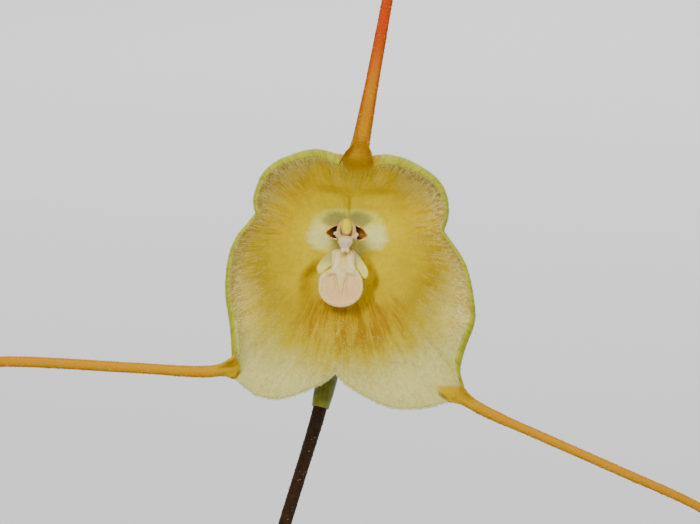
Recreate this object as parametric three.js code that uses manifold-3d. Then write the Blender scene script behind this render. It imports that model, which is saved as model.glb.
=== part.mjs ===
// A small Dracula orchid growing in a slatted wooden basket, with one open flower on a warty stem.
// Millimetres, +Z up. The origin is the middle of the basket's underside, and the flower looks along -Y.
import * as THREE from "three";
import { mergeVertices } from "three/addons/utils/BufferGeometryUtils.js";
import Module from "manifold-3d";

// Driving dimensions of the basket.
const SLAT_LENGTH = 120;
const SLAT_WIDTH = 9;
const SLAT_HEIGHT = 8;
const SLAT_OVERHANG = 5;
const LAYER_GAP = 0.2;
const WALL_LAYERS = 6;
const FLOOR_SLATS = 7;
const ROD_RADIUS = 1;
const ROD_HOLE_RADIUS = 1.3;
const ROD_HEAD_RADIUS = 2.8;

// Driving dimensions of the plant.
const LEAF_COUNT = 12;
const LEAF_HALF_WIDTH = 9.5;
const LEAF_THICKNESS = 0.8;
const RAMICAUL_RADIUS = 1.05;
const MOSS_CLEARANCE = 0.35;
const STEM_DEPTH_IN_MOSS = 10;

// The flower is drawn in its own frame: X right, Y up the face, Z out of the cup, towards who looks at it.
const BLOOM_CENTRE = [12, -20, 245];
const FACE_TILT = THREE.MathUtils.degToRad(10);
const SEPAL_THICKNESS = 0.65;
const CUP_DEPTH = 9.5;
const CUP_BOTTOM = [-0.5, 3.0];

const WOOD = new THREE.MeshStandardMaterial({ color: 0x8a6440, roughness: 0.8, metalness: 0 });
const WIRE = new THREE.MeshStandardMaterial({ color: 0x8b8d8c, roughness: 0.4, metalness: 1 });
const MOSS = new THREE.MeshStandardMaterial({ color: 0x8a9150, roughness: 1, metalness: 0 });
const LEAF = new THREE.MeshStandardMaterial({ color: 0x4f7a2c, roughness: 0.45, metalness: 0 });
const STEM = new THREE.MeshStandardMaterial({ color: 0x3c2317, roughness: 0.6, metalness: 0 });
const BRACT = new THREE.MeshStandardMaterial({ color: 0x7d8233, roughness: 0.4, metalness: 0 });
const SEPAL = new THREE.MeshStandardMaterial({ color: 0xdcb61e, roughness: 0.6, metalness: 0 });
const LIP = new THREE.MeshStandardMaterial({ color: 0xe2cdb4, roughness: 0.5, metalness: 0 });
const COLUMN = new THREE.MeshStandardMaterial({ color: 0xdccbb8, roughness: 0.5, metalness: 0 });
const PETAL = new THREE.MeshStandardMaterial({ color: 0x8a4c12, roughness: 0.5, metalness: 0 });
const ANTHER = new THREE.MeshStandardMaterial({ color: 0xdfc83a, roughness: 0.4, metalness: 0 });

const wasm = await Module();
wasm.setup();

// A repeatable draw of numbers from 0 to 1.
function seededDraw(seed) {
  let state = seed;
  return () => {
    state = (state * 1664525 + 1013904223) % 4294967296;
    return state / 4294967296;
  };
}

const vec = (x, y, z) => new THREE.Vector3(x, y, z);
const mix = (a, b, t) => a + (b - a) * t;
const smooth = (low, high, x) => THREE.MathUtils.smoothstep(x, low, high);

// Geometry from a list of points and a list of triangles, turned outwards if its volume comes out negative.
function surface(points, triangles) {
  let volume = 0;
  for (let i = 0; i < triangles.length; i += 3) {
    const [a, b, c] = [0, 1, 2].map((k) => points[triangles[i + k]]);
    volume += a.dot(b.clone().cross(c));
  }
  if (volume < 0) triangles.reverse();
  const geometry = new THREE.BufferGeometry();
  geometry.setAttribute("position", new THREE.Float32BufferAttribute(points.flatMap((p) => p.toArray()), 3));
  geometry.setIndex(triangles);
  return geometry;
}

// A closed skin over rings of equally many points, with both ends drawn to their middle.
function skin(rings) {
  const count = rings[0].length;
  const points = rings.flat();
  const triangles = [];
  for (let i = 0; i + 1 < rings.length; i++)
    for (let j = 0; j < count; j++) {
      const [a, b] = [i * count + j, i * count + ((j + 1) % count)];
      triangles.push(a, b, b + count, a, b + count, a + count);
    }
  for (const [ring, first] of [[rings[0], 0], [rings.at(-1), points.length - count]]) {
    const middle = ring.reduce((sum, p) => sum.add(p), vec(0, 0, 0)).divideScalar(count);
    const hub = points.push(middle) - 1;
    for (let j = 0; j < count; j++) {
      const [a, b] = [first + j, first + ((j + 1) % count)];
      if (first === 0) triangles.push(hub, b, a);
      else triangles.push(hub, a, b);
    }
  }
  return surface(points, triangles);
}

// Rings round a curve. radiusAt gives a ring's radius from the share of the way along and the angle round it.
function tubeRings(curve, steps, sides, radiusAt) {
  const frames = curve.computeFrenetFrames(steps, false);
  const rings = [];
  for (let i = 0; i <= steps; i++) {
    const middle = curve.getPointAt(i / steps);
    const ring = [];
    for (let j = 0; j < sides; j++) {
      const angle = (2 * Math.PI * j) / sides;
      const reach = radiusAt(i / steps, angle, i, j);
      ring.push(
        middle
          .clone()
          .addScaledVector(frames.normals[i], reach * Math.cos(angle))
          .addScaledVector(frames.binormals[i], reach * Math.sin(angle)),
      );
    }
    rings.push(ring);
  }
  return rings;
}

const curveThrough = (points) => new THREE.CatmullRomCurve3(points.map((p) => vec(...p)), false, "centripetal");

// A closed geometry as a solid that can be joined and cut.
function toSolid(geometry) {
  const bare = geometry.clone();
  bare.deleteAttribute("normal");
  bare.deleteAttribute("uv");
  const merged = mergeVertices(bare, 1e-4);
  const triVerts = new Uint32Array(merged.index.array);
  return new wasm.Manifold(
    new wasm.Mesh({ numProp: 3, vertProperties: merged.attributes.position.array, triVerts }),
  );
}

// A solid as a geometry. Loose scraps that a cut leaves are dropped.
function toGeometry(solid) {
  const pieces = solid.decompose();
  const largest = pieces.reduce((a, b) => (b.volume() > a.volume() ? b : a));
  const mesh = largest.getMesh();
  const geometry = new THREE.BufferGeometry();
  geometry.setAttribute("position", new THREE.Float32BufferAttribute(mesh.vertProperties, 3));
  geometry.setIndex(Array.from(mesh.triVerts));
  return geometry;
}

const orchid = new THREE.Group();

function addPiece(parent, name, geometry, material) {
  const mesh = new THREE.Mesh(geometry, material);
  mesh.name = name;
  parent.add(mesh);
  return mesh;
}

// Basket

const layerBottom = (layer) => layer * (SLAT_HEIGHT + LAYER_GAP);
const crossingOffset = SLAT_LENGTH / 2 - SLAT_OVERHANG - SLAT_WIDTH / 2;
const basketTop = layerBottom(WALL_LAYERS) + SLAT_HEIGHT;

// A slat along X with its underside at height 0, bored for a rod near each end if it lies at a crossing.
function slatGeometry(bored) {
  const [x, y] = [SLAT_LENGTH / 2, SLAT_WIDTH / 2];
  const outline = new THREE.Shape([
    new THREE.Vector2(-x, -y),
    new THREE.Vector2(x, -y),
    new THREE.Vector2(x, y),
    new THREE.Vector2(-x, y),
  ]);
  if (bored)
    for (const side of [-1, 1]) {
      const hole = new THREE.Path();
      hole.absarc(side * crossingOffset, 0, ROD_HOLE_RADIUS, 0, 2 * Math.PI, true);
      outline.holes.push(hole);
    }
  return new THREE.ExtrudeGeometry(outline, { depth: SLAT_HEIGHT, bevelEnabled: false, curveSegments: 4 });
}

const slats = [];
for (let i = 0; i < FLOOR_SLATS; i++) {
  const y = mix(-crossingOffset, crossingOffset, i / (FLOOR_SLATS - 1));
  const outermost = i === 0 || i === FLOOR_SLATS - 1;
  const slat = addPiece(orchid, `floor_slat_${i + 1}`, slatGeometry(outermost), WOOD);
  slat.position.set(0, y, 0);
  slats.push({ along: "x", x: 0, y, z: 0 });
}
for (let layer = 1; layer <= WALL_LAYERS; layer++)
  for (const side of [-1, 1]) {
    const alongY = layer % 2 === 1;
    const end = side < 0 ? "a" : "b";
    const slat = addPiece(orchid, `wall_slat_${layer}${end}`, slatGeometry(true), WOOD);
    const place = side * crossingOffset;
    slat.position.set(alongY ? place : 0, alongY ? 0 : place, layerBottom(layer));
    if (alongY) slat.rotation.z = Math.PI / 2;
    slats.push({ along: alongY ? "y" : "x", x: slat.position.x, y: slat.position.y, z: slat.position.z });
  }

// A corner rod runs down through every slat of its crossing and ends above in a domed head.
function cornerRodGeometry() {
  const headBottom = basketTop + 0.3;
  const profile = new THREE.Path();
  profile.moveTo(0, 1);
  profile.lineTo(ROD_RADIUS, 1);
  profile.lineTo(ROD_RADIUS, headBottom);
  profile.lineTo(ROD_HEAD_RADIUS, headBottom);
  profile.lineTo(ROD_HEAD_RADIUS, headBottom + 0.6);
  profile.quadraticCurveTo(ROD_HEAD_RADIUS * 0.85, headBottom + 2, 0, headBottom + 2.1);
  const rod = new THREE.LatheGeometry(profile.getPoints(4), 16);
  rod.rotateX(Math.PI / 2);
  return toGeometry(toSolid(rod));
}

for (const [name, sideX, sideY] of [
  ["front_left", -1, -1],
  ["front_right", 1, -1],
  ["back_left", -1, 1],
  ["back_right", 1, 1],
]) {
  const rod = addPiece(orchid, `corner_rod_${name}`, cornerRodGeometry(), WIRE);
  rod.position.set(sideX * crossingOffset, sideY * crossingOffset, 0);
}

// Leafy shoots

// A shoot leaves the moss at foot, leans by lean from upright towards heading, and arches over to droop.
const draw = seededDraw(7);
const shoots = [];
const SHOOT_FEET = [
  [-4, 6], [9, 9], [-14, 14], [2, 19], [17, 17], [-25, 5],
  [22, 2], [-9, -8], [6, -9], [-20, -16], [19, -17], [-2, -22],
];
for (let i = 0; i < LEAF_COUNT; i++) {
  const [x, y] = SHOOT_FEET[i];
  const outward = Math.atan2(y - 2, x + 1);
  shoots.push({
    foot: vec(x, y, 62 - 0.004 * (x * x + y * y)),
    heading: outward + (draw() - 0.5) * 0.9,
    lean: 0.1 + 0.009 * Math.hypot(x, y) + draw() * 0.08,
    droop: 0.85 + 0.5 * draw(),
    length: 104 + 26 * draw(),
    ramicaul: 17 + 7 * draw(),
    halfWidth: LEAF_HALF_WIDTH * (0.85 + 0.25 * draw()),
  });
}

// The middle line of a shoot: points, tangents and normals at shares of its length.
function shootLine(shoot, steps) {
  const outward = vec(Math.cos(shoot.heading), Math.sin(shoot.heading), 0);
  const whole = STEM_DEPTH_IN_MOSS + shoot.ramicaul + shoot.length;
  const fine = 8;
  const rows = [];
  const at = shoot.foot.clone();
  at.addScaledVector(outward, -Math.sin(shoot.lean) * STEM_DEPTH_IN_MOSS);
  at.z -= Math.cos(shoot.lean) * STEM_DEPTH_IN_MOSS;
  for (let i = 0; i <= steps * fine; i++) {
    const along = (i / (steps * fine)) * whole;
    const bladeShare = Math.max(0, (along - STEM_DEPTH_IN_MOSS - 0.5 * shoot.ramicaul) / shoot.length);
    const angle = shoot.lean + shoot.droop * bladeShare ** 1.5;
    const tangent = outward.clone().multiplyScalar(Math.sin(angle));
    tangent.z = Math.cos(angle);
    if (i % fine === 0) rows.push({ at: at.clone(), tangent, along });
    at.addScaledVector(tangent, whole / (steps * fine));
  }
  return { rows, side: vec(-outward.y, outward.x, 0) };
}

// A leaf's width swells towards its tip and closes to a point: narrow at the stalk, widest past the middle.
const bladeSwell = (share) => (share ** 1.5 * (1 - share ** 4)) / 0.4468;

// One ring of the shoot: round on the ramicaul, flat with a raised margin and a keel on the blade.
function shootRing(shoot, row, side) {
  const blade = (row.along - STEM_DEPTH_IN_MOSS - shoot.ramicaul) / shoot.length;
  const flat = smooth(-0.06, 0.06, blade);
  const share = THREE.MathUtils.clamp(blade, 0, 1);
  const half = Math.max(1.15 * (1 - share ** 8) + 0.12, shoot.halfWidth * bladeSwell(share));
  const fold = mix(0.9, 0.24, smooth(0.0, 0.45, share));
  const sheath = blade < -0.07 ? 1.25 : 1;
  const normal = side.clone().cross(row.tangent).normalize();
  const body = LEAF_THICKNESS * (1 - 0.4 * share);
  const stations = [-1, -0.5, 0, 0.5, 1, 1, 0.5, 0, -0.5, -1];
  return stations.map((station, j) => {
    const angle = Math.PI - (2 * Math.PI * (j + 0.5)) / 10 + Math.PI / 10;
    const round = RAMICAUL_RADIUS * sheath;
    const x = mix(round * Math.cos(angle), half * station, flat);
    const above = j < 5;
    const margin = Math.abs(station) === 1 ? 0.55 : 1;
    const keel = station === 0 && !above ? 0.55 * (1 - share) : 0;
    const lift = Math.abs(station) * half * Math.tan(fold) * 0.55;
    const face = lift + (above ? 0.5 : -0.5) * body * margin - keel;
    const y = mix(round * Math.sin(angle), face, flat);
    return row.at.clone().addScaledVector(side, -x).addScaledVector(normal, -y);
  });
}

shoots.forEach((shoot, i) => {
  const { rows, side } = shootLine(shoot, 17);
  const rings = rows.map((row) => shootRing(shoot, row, side));
  addPiece(orchid, `leaf_shoot_${String(i + 1).padStart(2, "0")}`, skin(rings), LEAF);
});

// Flower stem

const stemPath = curveThrough([
  [-13, -2, 52],
  [-13.5, -2.5, 66],
  [-14, -4, 100],
  [-10, -6, 150],
  [-1.6, -7.8, 192],
  [3.4, -8.4, 209],
  [7.8, -9.6, 223.6],
]);

// Warts stand out of the stem in staggered rows, and two short sheaths wrap it on the way up.
function stemRadius(share, angle, i, j) {
  const bare = mix(0.95, 0.78, smooth(0, 0.8, share)) + 0.17 * smooth(0.93, 1, share);
  const wart = (i + j) % 2 === 0 ? 0.13 : 0;
  const sheath = [0.26, 0.56].some((start) => share > start && share < start + 0.055) ? 0.35 : 0;
  return bare + (sheath || wart);
}
addPiece(orchid, "flower_stem", skin(tubeRings(stemPath, 64, 7, stemRadius)), STEM);

// Moss

// The moss fills the basket, bulges into the gaps between the slats, and is domed and tufted on top.
function mossGeometry() {
  const columns = 44;
  const levels = [8.35, 20, 32, 44, 55, 60];
  const crown = [0.86, 0.68, 0.48, 0.26, 0.1];
  const reach = crossingOffset - SLAT_WIDTH / 2 + 3;
  const lumps = (x, y) => 1.3 * Math.sin(x / 5.1 + 0.6 * y / 7) * Math.cos(y / 4.3 - 1) + 0.8 * Math.sin(x / 2.3 + y / 3);
  const ringAt = (share, height) =>
    Array.from({ length: columns }, (_, j) => {
      const angle = (2 * Math.PI * j) / columns;
      const corner = (Math.abs(Math.cos(angle)) ** 6 + Math.abs(Math.sin(angle)) ** 6) ** (-1 / 6);
      const out = share * reach * corner;
      const [x, y] = [out * Math.cos(angle), out * Math.sin(angle)];
      return vec(x, y, height(x, y));
    });
  const rings = levels.map((z, k) => ringAt(k % 2 ? 1.006 : 0.996, () => z));
  for (const share of crown)
    rings.push(ringAt(share, (x, y) => 64.5 - 0.0018 * (x * x + y * y) + lumps(x, y)));
  let solid = toSolid(skin(rings));
  for (const slat of slats) {
    const [longSide, shortSide] = [SLAT_LENGTH + 2, SLAT_WIDTH + 2 * MOSS_CLEARANCE];
    const alongX = slat.along === "x";
    const space = new THREE.BoxGeometry(
      alongX ? longSide : shortSide,
      alongX ? shortSide : longSide,
      SLAT_HEIGHT + 2 * LAYER_GAP + 0.2,
    );
    space.translate(slat.x, slat.y, slat.z + SLAT_HEIGHT / 2);
    if (slat.z > 0) solid = solid.subtract(toSolid(space));
  }
  for (const shoot of shoots) {
    const { rows } = shootLine(shoot, 17);
    solid = solid.subtract(stemHole(rows[0].at, rows[0].tangent, RAMICAUL_RADIUS * 1.25));
  }
  const stemTangent = stemPath.getTangentAt(0);
  return toGeometry(solid.subtract(stemHole(stemPath.getPointAt(0), stemTangent, 1.1)));
}

// The round hole that a stem stands in, from just under its foot to above the moss.
function stemHole(foot, tangent, radius) {
  const length = 24;
  const hole = new THREE.CylinderGeometry(radius + MOSS_CLEARANCE, radius + MOSS_CLEARANCE, length, 8);
  hole.translate(0, length / 2 - MOSS_CLEARANCE, 0);
  hole.applyQuaternion(new THREE.Quaternion().setFromUnitVectors(vec(0, 1, 0), tangent));
  hole.translate(foot.x, foot.y, foot.z);
  return toSolid(hole);
}
addPiece(orchid, "moss", mossGeometry(), MOSS);

// Flower

const bloom = new THREE.Group();
bloom.position.set(...BLOOM_CENTRE);
bloom.rotation.x = Math.PI / 2 - FACE_TILT;
orchid.add(bloom);

// The rim of the joined sepals, in stretches that run clockwise from the top tail. Each stretch is smooth, and
// where two meet there is a notch or the root of a tail.
const DORSAL_RIGHT = [
  [2.8, 13.6], [4.1, 13.9], [7.2, 13.3], [10.1, 11.4], [12.3, 8.6], [12.8, 6.2], [12.2, 4.0],
];
const LATERAL_RIGHT = [
  [12.2, 4.0], [13.0, 2.7], [15.0, -0.6], [16.1, -5.1], [16.0, -7.8], [14.3, -11.6], [13.9, -14.0], [14.5, -15.9],
];
const BOTTOM_RIGHT = [
  [12.3, -17.7], [9.5, -18.6], [5.4, -18.6], [1.0, -16.6], [-0.8, -15.3], [-1.9, -14.1],
];
const BOTTOM_LEFT = [
  [-1.9, -14.1], [-3.2, -15.2], [-5.0, -16.2], [-8.7, -17.4], [-11.8, -17.0], [-14.4, -15.3],
];
const LATERAL_LEFT = [
  [-15.2, -11.8], [-15.5, -8.6], [-16.1, -3.7], [-15.5, 1.0], [-13.4, 4.7], [-12.1, 6.3],
];
const DORSAL_LEFT = [
  [-12.1, 6.3], [-12.5, 7.8], [-11.3, 11.2], [-8.3, 13.5], [-4.6, 14.4], [-1.0, 13.8],
];
const TAIL_COLUMNS = 4;
const TAILS = [
  { // up, leaning right and back, with the tip curling forward
    path: [[1.0, 13.6, 0.2], [1.6, 16.5, 0.7], [3.2, 24.7, 0.2], [4.9, 33.7, -2.2], [6.9, 45, -6], [10, 57, -8], [13, 63, -8.5]],
    radii: [1.45, 0.98, 0.8, 0.68, 0.62, 0.55, 0.4],
  },
  { // right and down
    path: [[13.6, -16.9, -0.5], [17, -19, -0.4], [25, -22.7, -0.2], [35, -27, 0], [45, -31.5, -1], [55, -38, -2.6], [60, -43, -3.6]],
    radii: [1.25, 0.76, 0.67, 0.64, 0.6, 0.55, 0.42],
  },
  { // left, nearly level, then drooping
    path: [[-15.0, -13.7, -0.5], [-18.5, -13.8, -0.4], [-28, -13.2, -0.2], [-45, -12.6, 0], [-55, -13.6, -1], [-64, -18, -2.4], [-67, -22, -3.4]],
    radii: [1.25, 0.8, 0.68, 0.64, 0.6, 0.54, 0.42],
  },
];

// Points along a stretch of the rim. The last one belongs to the next stretch.
function stretch(points, count) {
  const curve = new THREE.CatmullRomCurve3(points.map(([x, y]) => vec(x, y, 0)), false, "centripetal");
  return Array.from({ length: count }, (_, i) => curve.getPointAt(i / count));
}

// The columns across a tail's root, from one side of it to the other.
function tailRoot(from, to) {
  return Array.from({ length: TAIL_COLUMNS }, (_, i) => {
    const share = i / TAIL_COLUMNS;
    return vec(mix(from[0], to[0], share), mix(from[1], to[1], share), 0);
  });
}

const rim = [
  ...stretch(DORSAL_RIGHT, 10),
  ...stretch(LATERAL_RIGHT, 11),
  ...tailRoot(LATERAL_RIGHT.at(-1), BOTTOM_RIGHT[0]),
  ...stretch(BOTTOM_RIGHT, 10),
  ...stretch(BOTTOM_LEFT, 9),
  ...tailRoot(BOTTOM_LEFT.at(-1), LATERAL_LEFT[0]),
  ...stretch(LATERAL_LEFT, 11),
  ...stretch(DORSAL_LEFT, 10),
  ...tailRoot(DORSAL_LEFT.at(-1), DORSAL_RIGHT[0]),
];
const tailStarts = [rim.length - TAIL_COLUMNS, 21, 21 + TAIL_COLUMNS + 19];

// How far round to the dorsal sepal, the sides or the bottom a direction from the cup's middle points.
function quarter(angle) {
  const top = smooth(0.12, 0.6, Math.sin(angle));
  const bottom = smooth(0.45, 0.85, -Math.sin(angle));
  return { top, bottom, side: 1 - top - bottom };
}
const byQuarter = (q, top, side, bottom) => q.top * top + q.side * side + q.bottom * bottom;

// The cup's front face: a bowl with a brow fold above the column, a pocket behind the lip and a middle groove.
function cupHeight(x, y, share, q) {
  const edge = byQuarter(q, -2.6, -2.6, -1.3);
  const power = byQuarter(q, 2.1, 1.8, 1.3);
  const bowl = -CUP_DEPTH + (edge + CUP_DEPTH) * share ** power;
  const brow = 0.9 * smooth(8.6, 10.4, y) * q.top - 0.7 * smooth(7.4, 9.2, y) * (1 - smooth(9.2, 10.2, y)) * q.top;
  const pocket = -1.1 * (1 - smooth(2.6, 4.4, Math.abs(x + 0.7))) * smooth(-8, -5, y) * (1 - smooth(0, 2.5, y));
  const groove = -0.35 * (1 - smooth(0, 0.7, Math.abs(x + 0.3))) * smooth(5, 6.5, y) * (1 - smooth(9, 10.5, y));
  return bowl + brow + pocket + groove;
}

// One column of the cup, from its middle out over the rim's curl: pairs of front and back points.
const BOWL_RINGS = 7;
const CURL_RINGS = 3;
function cupColumn(rimPoint, isTail) {
  const [middleX, middleY] = CUP_BOTTOM;
  const [dx, dy] = [rimPoint.x - middleX, rimPoint.y - middleY];
  const full = Math.hypot(dx, dy);
  const angle = Math.atan2(dy, dx);
  const q = quarter(angle);
  const curlLength = isTail ? 1.6 : byQuarter(q, 3.0, 2.2, 1.8);
  const lastTurn = isTail ? 0.3 : THREE.MathUtils.degToRad(byQuarter(q, 150, 118, -8));
  const height = (r, main) =>
    cupHeight(middleX + (dx / full) * r, middleY + (dy / full) * r, r / main, q);

  const curlFrom = (main) => {
    const firstTurn = Math.atan2(height(main, main) - height(main - 0.4, main), 0.4);
    let [r, z] = [main, height(main, main)];
    const rows = [];
    const parts = 12;
    for (let i = 1; i <= parts; i++) {
      const turn = mix(firstTurn, lastTurn, (i - 0.5) / parts);
      r += (Math.cos(turn) * curlLength) / parts;
      z += (Math.sin(turn) * curlLength) / parts;
      if (i % (parts / CURL_RINGS) === 0) rows.push({ r, z, turn: mix(firstTurn, lastTurn, i / parts) });
    }
    return rows;
  };
  const widest = (rows) => Math.max(...rows.map((row) => row.r + SEPAL_THICKNESS * Math.sin(row.turn)));
  let main = full;
  for (let i = 0; i < 4; i++) main -= Math.max(widest(curlFrom(main)), main) - full;

  const rows = [];
  for (let i = 1; i <= BOWL_RINGS; i++) {
    const r = main * (i / BOWL_RINGS) ** 0.9;
    const turn = Math.atan2(height(r, main) - height(r - 0.3, main), 0.3);
    rows.push({ r, z: height(r, main), turn });
  }
  rows.push(...curlFrom(main));
  const place = (r, z) => vec(middleX + (dx / full) * r, middleY + (dy / full) * r, z);
  return rows.map(({ r, z, turn }) => ({
    front: place(r, z),
    back: place(r + SEPAL_THICKNESS * Math.sin(turn), z - SEPAL_THICKNESS * Math.cos(turn)),
  }));
}

// The joined sepals with their three tails as one skin: front and back faces, the rim between them, and each
// tail drawn out of the rim where its root is.
function sepalsGeometry() {
  const points = [];
  const triangles = [];
  const add = (p) => points.push(p) - 1;
  const quad = (a, b, c, d) => triangles.push(a, b, c, a, c, d);
  const inTail = (i) => tailStarts.some((start) => i >= start && i <= start + TAIL_COLUMNS);
  const lastTail = (i) => inTail(i) || (i === 0 && inTail(rim.length));
  const columns = rim.map((p, i) =>
    cupColumn(p, lastTail(i)).map(({ front, back }) => ({ front: add(front), back: add(back) })),
  );
  const frontHub = add(vec(...CUP_BOTTOM, -CUP_DEPTH));
  const backHub = add(vec(...CUP_BOTTOM, -CUP_DEPTH - SEPAL_THICKNESS));
  const rings = columns[0].length;
  const isTailGap = (i) => tailStarts.some((start) => i >= start && i < start + TAIL_COLUMNS);
  columns.forEach((column, i) => {
    const next = columns[(i + 1) % columns.length];
    triangles.push(frontHub, next[0].front, column[0].front);
    triangles.push(backHub, column[0].back, next[0].back);
    for (let k = 0; k + 1 < rings; k++) {
      quad(column[k].front, next[k].front, next[k + 1].front, column[k + 1].front);
      quad(column[k].back, column[k + 1].back, next[k + 1].back, next[k].back);
    }
    if (!isTailGap(i)) quad(column[rings - 1].front, next[rings - 1].front, next[rings - 1].back, column[rings - 1].back);
  });
  tailStarts.forEach((start, t) => {
    const across = Array.from({ length: TAIL_COLUMNS + 1 }, (_, i) => columns[(start + i) % columns.length][rings - 1]);
    const loop = [...across.map((c) => c.front), ...across.map((c) => c.back).reverse()];
    drawTail(TAILS[t], loop, points, triangles);
  });
  return surface(points, triangles);
}

// A tail grows out of a loop of rim points, rounds off within a few millimetres, and tapers to its tip.
function drawTail(tail, loop, points, triangles) {
  const steps = 18;
  const curve = curveThrough(tail.path);
  const count = loop.length;
  const radii = tail.radii;
  const root = loop.map((k) => points[k].clone());
  const rootMiddle = root.reduce((sum, p) => sum.add(p), vec(0, 0, 0)).divideScalar(count);
  const across = root[0].clone().sub(root[TAIL_COLUMNS]).normalize();
  let last = loop;
  for (let i = 1; i <= steps; i++) {
    const share = (i / steps) ** 1.5;
    const middle = curve.getPointAt(share);
    const tangent = curve.getTangentAt(share);
    const side = across.clone().addScaledVector(tangent, -across.dot(tangent)).normalize();
    const up = tangent.clone().cross(side);
    const spot = share * (radii.length - 1);
    const low = Math.min(Math.floor(spot), radii.length - 2);
    const radius = mix(radii[low], radii[low + 1], spot - low);
    const rounded = smooth(0, 0.14, share);
    const ring = root.map((p, j) => {
      const turn = (Math.PI * (j + 0.5)) / (count / 2) - Math.PI / 2;
      return middle
        .clone()
        .addScaledVector(side, radius * Math.sin(turn))
        .addScaledVector(up, radius * Math.cos(turn));
    });
    // The rim's loop is carried along the path and turned into the circle that lies nearest to it.
    const carried = root.map((p) => p.clone().sub(rootMiddle).add(middle));
    const near = nearestTurn(ring, carried);
    const placed = carried.map((p, j) => p.lerp(near[j], rounded));
    const indices = placed.map((p) => points.push(p) - 1);
    for (let j = 0; j < count; j++) {
      const k = (j + 1) % count;
      triangles.push(last[j], last[k], indices[k], last[j], indices[k], indices[j]);
    }
    last = indices;
  }
  const tip = points.push(curve.getPointAt(1).addScaledVector(curve.getTangentAt(1), 0.5)) - 1;
  for (let j = 0; j < count; j++) triangles.push(last[j], last[(j + 1) % count], tip);
}

// The ring started at the point, and run in the direction, that leaves it closest to the loop.
function nearestTurn(ring, loop) {
  let best = { cost: Infinity };
  for (const run of [ring, [...ring].reverse()])
    for (let shift = 0; shift < ring.length; shift++) {
      const turned = run.map((_, j) => run[(j + shift) % run.length]);
      const cost = turned.reduce((sum, p, j) => sum + p.distanceToSquared(loop[j]), 0);
      if (cost < best.cost) best = { cost, turned };
    }
  return best.turned;
}
addPiece(bloom, "sepals", sepalsGeometry(), SEPAL);

// Rings of an upright oval stack, used for the small parts in the cup. Each row gives a middle and two radii.
function ovalRings(rows, sides) {
  return rows.map(([x, y, z, acrossX, acrossY]) =>
    Array.from({ length: sides }, (_, j) => {
      const angle = (2 * Math.PI * j) / sides;
      return vec(x + acrossX * Math.cos(angle), y + acrossY * Math.sin(angle), z);
    }),
  );
}

function ellipsoid([x, y, z], [rx, ry, rz]) {
  const ball = new THREE.SphereGeometry(1, 14, 9);
  ball.scale(rx, ry, rz);
  ball.translate(x, y, z);
  return ball;
}

// The column stands out of the cup's middle. Its blunt tip carries the anther cap above and the pale knob below.
const ANTHER_MIDDLE = [-0.5, 4.5, -4.75];
const ANTHER_RADII = [0.78, 1.3, 0.85];
function columnGeometry() {
  const shaft = skin(ovalRings([
    [-0.5, 3.5, -9.15, 1.0, 1.7],
    [-0.5, 3.5, -8.2, 0.85, 1.55],
    [-0.5, 3.6, -6.6, 0.85, 1.6],
    [-0.55, 3.7, -5.4, 0.88, 1.8],
    [-0.55, 3.7, -4.9, 0.7, 1.5],
  ], 14));
  const knob = ellipsoid([-0.75, 2.55, -4.75], [1.22, 1.1, 1.0]);
  const socket = ellipsoid(ANTHER_MIDDLE, ANTHER_RADII.map((r) => r + 0.12));
  return toGeometry(toSolid(shaft).add(toSolid(knob)).subtract(toSolid(socket)));
}
addPiece(bloom, "column", columnGeometry(), COLUMN);
addPiece(bloom, "anther_cap", ellipsoid(ANTHER_MIDDLE, ANTHER_RADII), ANTHER);

// A petal is a short stub beside the column, which ends in a hollow three-cornered face.
function petalGeometry(face, base) {
  const [faceX, faceY] = [0, 1].map((k) => face.reduce((sum, p) => sum + p[k], 0) / face.length);
  const ringAt = (x, y, z, share) =>
    face.map((p) => vec(x + (p[0] - faceX) * share, y + (p[1] - faceY) * share, z));
  return skin([
    ringAt(base[0], base[1], -8.7, 0.5),
    ringAt(mix(base[0], faceX, 0.5), mix(base[1], faceY, 0.5), -7.2, 0.6),
    ringAt(faceX, faceY, -5.9, 0.9),
    ringAt(faceX, faceY, -5.4, 1.0),
    ringAt(faceX, faceY, -5.3, 0.8),
    ringAt(faceX, faceY, -5.6, 0.62),
    ringAt(faceX, faceY, -6.0, 0.35),
  ]);
}
const PETAL_FACE_LEFT = [[-1.7, 5.3], [-2.6, 5.1], [-3.3, 4.5], [-3.75, 3.8], [-3.1, 3.1], [-2.1, 2.8], [-1.7, 4.0]];
const PETAL_FACE_RIGHT = [[0.65, 5.2], [0.65, 4.0], [0.9, 2.6], [1.9, 2.7], [2.75, 3.4], [2.2, 4.2], [1.5, 4.9]];
addPiece(bloom, "petal_left", petalGeometry(PETAL_FACE_LEFT, [-2.3, 3.6]), PETAL);
addPiece(bloom, "petal_right", petalGeometry(PETAL_FACE_RIGHT, [1.3, 3.6]), PETAL);

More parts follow.
